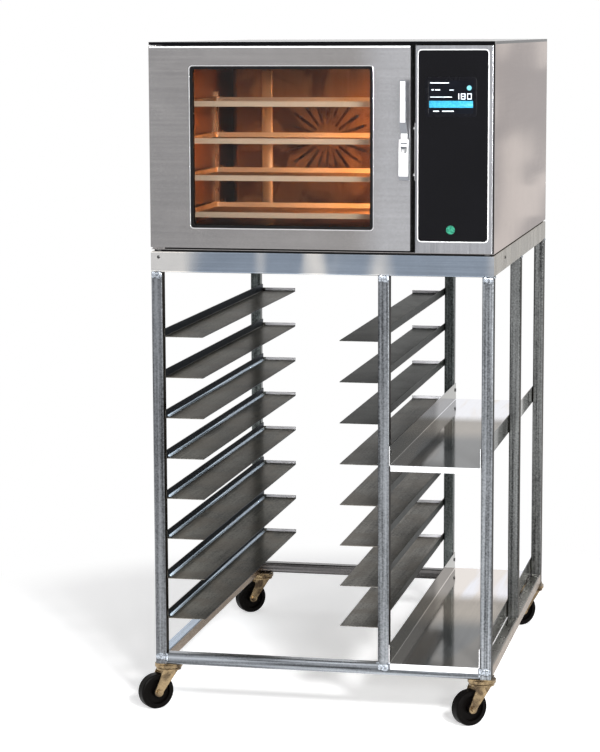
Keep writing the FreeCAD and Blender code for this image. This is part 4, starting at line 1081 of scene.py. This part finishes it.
@dataclass
class Latch(SubAssembly):
    """The pull latch beside the control column."""

    def finishes(self) -> dict[str, Finish]:
        """Colour the grip and housing near white on their front faces and dark elsewhere, painted light and shade that
        leaves them brighter than the door.
        """
        return {"latch_body": LATCH, "latch_lever": LATCH, "latch_keeper": CHROME}


SEGMENTS: dict[str, str] = {"0": "abcdef", "1": "bc", "8": "abcdefg"}
LINES: tuple[tuple[float, float, float, float], ...] = (
    (0.03, 0.91, 0.42, 0.028), (0.06, 0.70, 0.05, 0.034), (0.14, 0.70, 0.11, 0.034), (0.46, 0.70, 0.10, 0.022),
    (0.03, 0.49, 0.49, 0.020), (0.10, 0.06, 0.13, 0.030), (0.30, 0.06, 0.26, 0.030))


@dataclass
class ControlColumn(SubAssembly):
    """The dark glass with its screen and button.

    An edge or frame is its corner radius, width and rise. Spots on the screen are shares of the screen's own size.
    """

    number: str = "180"
    edge: tuple[float, float, float] = (0.008, 0.0034, 0.0020)
    screen_frame: tuple[float, float, float] = (0.002, 0.010, 0.0004)
    print_rise: float = 0.0002
    digit_left: float = 0.58
    digit_step: float = 0.14
    digit_foot: float = 0.43
    digit_size: Pair = (0.10, 0.18)
    stroke: float = 0.17
    line_corner: float = 0.0004
    bar_span: tuple[Pair, ...] = ((0.01, 0.18), (0.99, 0.385))
    bar_corner: float = 0.0008
    icon_spot: Pair = (0.905, 0.775)
    icon_radius: float = 0.075

    def finishes(self) -> dict[str, Finish]:
        """Blacken the glass and light the screen and the button."""
        return {"control_fascia": FASCIA, "control_glass": PANEL_GLASS, "display": SCREEN, "power_button": BUTTON,
                "control_board": BOARD}

    def digit(self, sign: str, corner: np.ndarray, size: np.ndarray, face: float) -> list[np.ndarray]:
        """Draw one digit from up to seven bars: three lie across and four stand, each half as high as the digit.

        Args:
            sign: The digit.
            corner: Lower left corner of the digit in x and z.
            size: Width and height of the digit.
            face: The y of the screen.

        Returns:
            One surface for each bar.
        """
        wide, high = size
        bar = wide * self.stroke
        spots = {"a": (0, high - bar, wide, bar), "g": (0, (high - bar) / 2, wide, bar), "d": (0, 0, wide, bar),
                 "b": (wide - bar, high / 2, bar, high / 2), "c": (wide - bar, 0, bar, high / 2),
                 "f": (0, high / 2, bar, high / 2), "e": (0, 0, bar, high / 2)}
        lows = {name: corner + spots[name][:2] for name in SEGMENTS[sign]}
        return [front_slab(low, low + spots[name][2:], face, bar * 0.3, self.print_rise) for name, low in lows.items()]

    def screen(self, low: np.ndarray, size: np.ndarray, face: float) -> None:
        """Draw the plain number, the lines, the bar and the round sign of the screen.

        Args:
            low: Lower left corner of the screen in x and z.
            size: Width and height of the screen.
            face: The y of the screen.
        """
        signs = [bar for place, sign in enumerate(self.number)
                 for bar in self.digit(sign, low + size * (self.digit_left + self.digit_step * place, self.digit_foot),
                                       size * self.digit_size, face)]
        signs += [front_slab(low + size * (x, z), low + size * (x + wide, z + tall), face, self.line_corner,
                             self.print_rise) for x, z, wide, tall in LINES]
        self.piece("screen_signs", SCREEN_WHITE, *signs)
        start, end = (low + size * corner for corner in self.bar_span)
        self.piece("screen_bar", SCREEN_CYAN, front_slab(start, end, face, self.bar_corner, self.print_rise))
        middle = low + size * self.icon_spot
        self.piece("screen_icon", SCREEN_ICON, dome(np.array([middle[0], face, middle[1]]), FRONT,
                                                    size[1] * self.icon_radius, self.print_rise))

    def detail(self) -> None:
        """Edge the glass with a pale bead as a painted highlight, frame the screen and draw its plain number and bars.
        """
        low, high = self.span("control_glass")
        face = self.span("control_fascia")[0][1]
        self.piece("glass_edge_highlight", EDGE_HIGHLIGHT, front_ring(low[[0, 2]], high[[0, 2]], face, *self.edge), caps=False)
        glass = low[1]
        screen = self.span("display")[0][1]
        low, high = (corner[[0, 2]] for corner in self.span("display"))
        self.piece("screen_frame", SCREEN_FRAME, front_ring(low, high, glass, *self.screen_frame), caps=False)
        self.screen(low, high - low, screen)


@dataclass
class Studio:
    """The camera of the photograph, a pale floor and soft light."""

    focus: float = 2455.1
    heading: Colour = (11.9994, 8.0511, -0.2165)
    stand_point: Colour = (1.3399, -7.1982, 1.9177)
    image_height: float = 752.0
    sensor: float = 36.0
    far_clip: float = 100.0
    floor_rings: tuple[float, ...] = (0.01, 1.0, 2.0, 3.0, 4.0, 6.0)
    floor_steps: int = 96
    middle: Colour = (0.0, 0.0, 0.9)
    rig: tuple[tuple[str, Colour, float, float], ...] = (
        ("key", (2.8, -5.4, 3.8), 0.9, 420.0), ("front", (2.6, -7.0, 2.3), 0.8, 230.0),
        ("fill", (-3.0, -4.0, 3.0), 2.6, 30.0))
    room: tuple[Colour, Colour] = ((0.46, 0.48, 0.52), (1.0, 0.97, 0.94))
    room_mix: Colour = (0.7, 0.35, 0.45)
    band_scale: Colour = (2.6, 2.6, 0.8)
    band_edge: Pair = (0.30, 0.70)
    backdrop: Pair = (-0.35, 0.20)
    shape_scale: Colour = (60.0, 0.0, 24.0)
    shape_edge: Pair = (0.485, 0.515)
    zone: tuple[Pair, Pair, Pair] = ((0.08, 0.095), (0.16, 0.18), (0.95, 0.97))
    shape_colour: Colour = (0.35, 0.37, 0.41)
    shape_share: float = 0.55
    ambient: Colour = (0.38, 0.38, 0.385)

    def camera(self) -> None:
        """Place the camera from its heading: turned left, tipped down and rolled.

        The line of sight is the turn's sine and cosine, shortened and lowered by the tip. The roll turns the level
        axis towards the upright one.
        """
        yaw, pitch, roll = np.radians(self.heading)
        ahead = np.array([-math.sin(yaw) * math.cos(pitch), math.cos(yaw) * math.cos(pitch), -math.sin(pitch)])
        level = np.array([math.cos(yaw), math.sin(yaw), 0.0])
        upright = np.cross(level, ahead)
        right = level * math.cos(roll) + upright * math.sin(roll)
        up = upright * math.cos(roll) - level * math.sin(roll)
        data = bpy.data.cameras.new("camera")
        data.lens = self.focus * self.sensor / self.image_height
        data.sensor_width = self.sensor
        data.clip_end = self.far_clip
        item = bpy.data.objects.new("camera", data)
        place = np.eye(4)
        place[:3, :3] = np.stack([right, up, -ahead], -1)
        place[:3, 3] = self.stand_point
        item.matrix_world = Matrix(place.tolist())
        bpy.context.scene.collection.objects.link(item)
        bpy.context.scene.camera = item

    def floor(self) -> None:
        """Lay a pale disc round the object: each ring is its radius times the cosine and sine of the turn."""
        angle = np.linspace(0.0, 2 * math.pi, self.floor_steps + 1)[:-1]
        turn = np.stack([np.cos(angle), np.sin(angle), np.zeros_like(angle)], -1)
        mesh = surfaces("floor", [np.array(self.floor_rings)[:, None, None] * turn[None]], caps=False)
        mesh.materials.append(FLOOR.material())
        item = bpy.data.objects.new("floor", mesh)
        bpy.context.scene.collection.objects.link(item)

    def world(self) -> None:
        """Surround the object with a white backdrop behind it and a softly banded room before it.

        What a direction shows depends on its own x, y and z: noise bands in front, white behind, and some dim shapes
        in a narrow zone behind the right side. Diffuse light takes one even grey, and the camera sees white.
        """
        world = bpy.data.worlds.new("studio")
        bpy.context.scene.world = world
        world.use_nodes = True
        g = Graph(world.node_tree)
        seen = g.node("ShaderNodeLightPath", out="Is Camera Ray")
        way = g.node("ShaderNodeTexCoord", out="Generated")
        depth = g.node("ShaderNodeSeparateXYZ", {"Vector": way}, out="Y")
        rise, across = depth.beside("Z"), depth.beside("X")
        band = g.noise(g.node("ShaderNodeMapping", {"Vector": way, "Scale": self.band_scale}), 1.6, 2.0, 0.3)
        bands, sideways, upwards = self.room_mix
        bright = band.smooth(*self.band_edge) * bands + across * sideways + rise * upwards
        around = g.mix(depth.smooth(*self.backdrop), g.mix(bright.clamp(), *self.room), WHITE)
        shapes = g.noise(g.node("ShaderNodeMapping", {"Vector": way, "Scale": self.shape_scale}), 1.0, 1.0, 0.3)
        start, end, behind = self.zone
        zone = across.smooth(*start) * (1.0 - across.smooth(*end)) * depth.smooth(*behind)
        around = g.mix(shapes.smooth(*self.shape_edge) * zone * self.shape_share, around, self.shape_colour)
        lit = g.mix(seen.beside("Is Diffuse Ray"), around, self.ambient)
        colour = g.mix((seen + seen.beside("Is Transmission Ray")).clamp(), lit, WHITE)
        g.output("ShaderNodeOutputWorld", g.node("ShaderNodeBackground", {"Color": colour, "Strength": 1.0}))

    def lamps(self) -> None:
        """Hang one soft lamp at the front right, one beside the camera and a weaker one at the left."""
        for name, spot, size, power in self.rig:
            area_lamp(name, spot, Vector(self.middle) - Vector(spot), (size, size), power)

    def build(self) -> None:
        """Set up everything round the object."""
        bpy.context.scene.view_settings.view_transform = "Standard"
        self.camera()
        self.floor()
        self.world()
        self.lamps()


def main() -> None:
    """Build the studio and every sub-assembly."""
    logging.basicConfig(level=logging.INFO, format="%(message)s")
    Studio().build()
    for unit in (Stand(), Castors(), Casing(), Chamber(), Door(), Latch(), ControlColumn()):
        unit.build()


if __name__ == "__main__":
    main()
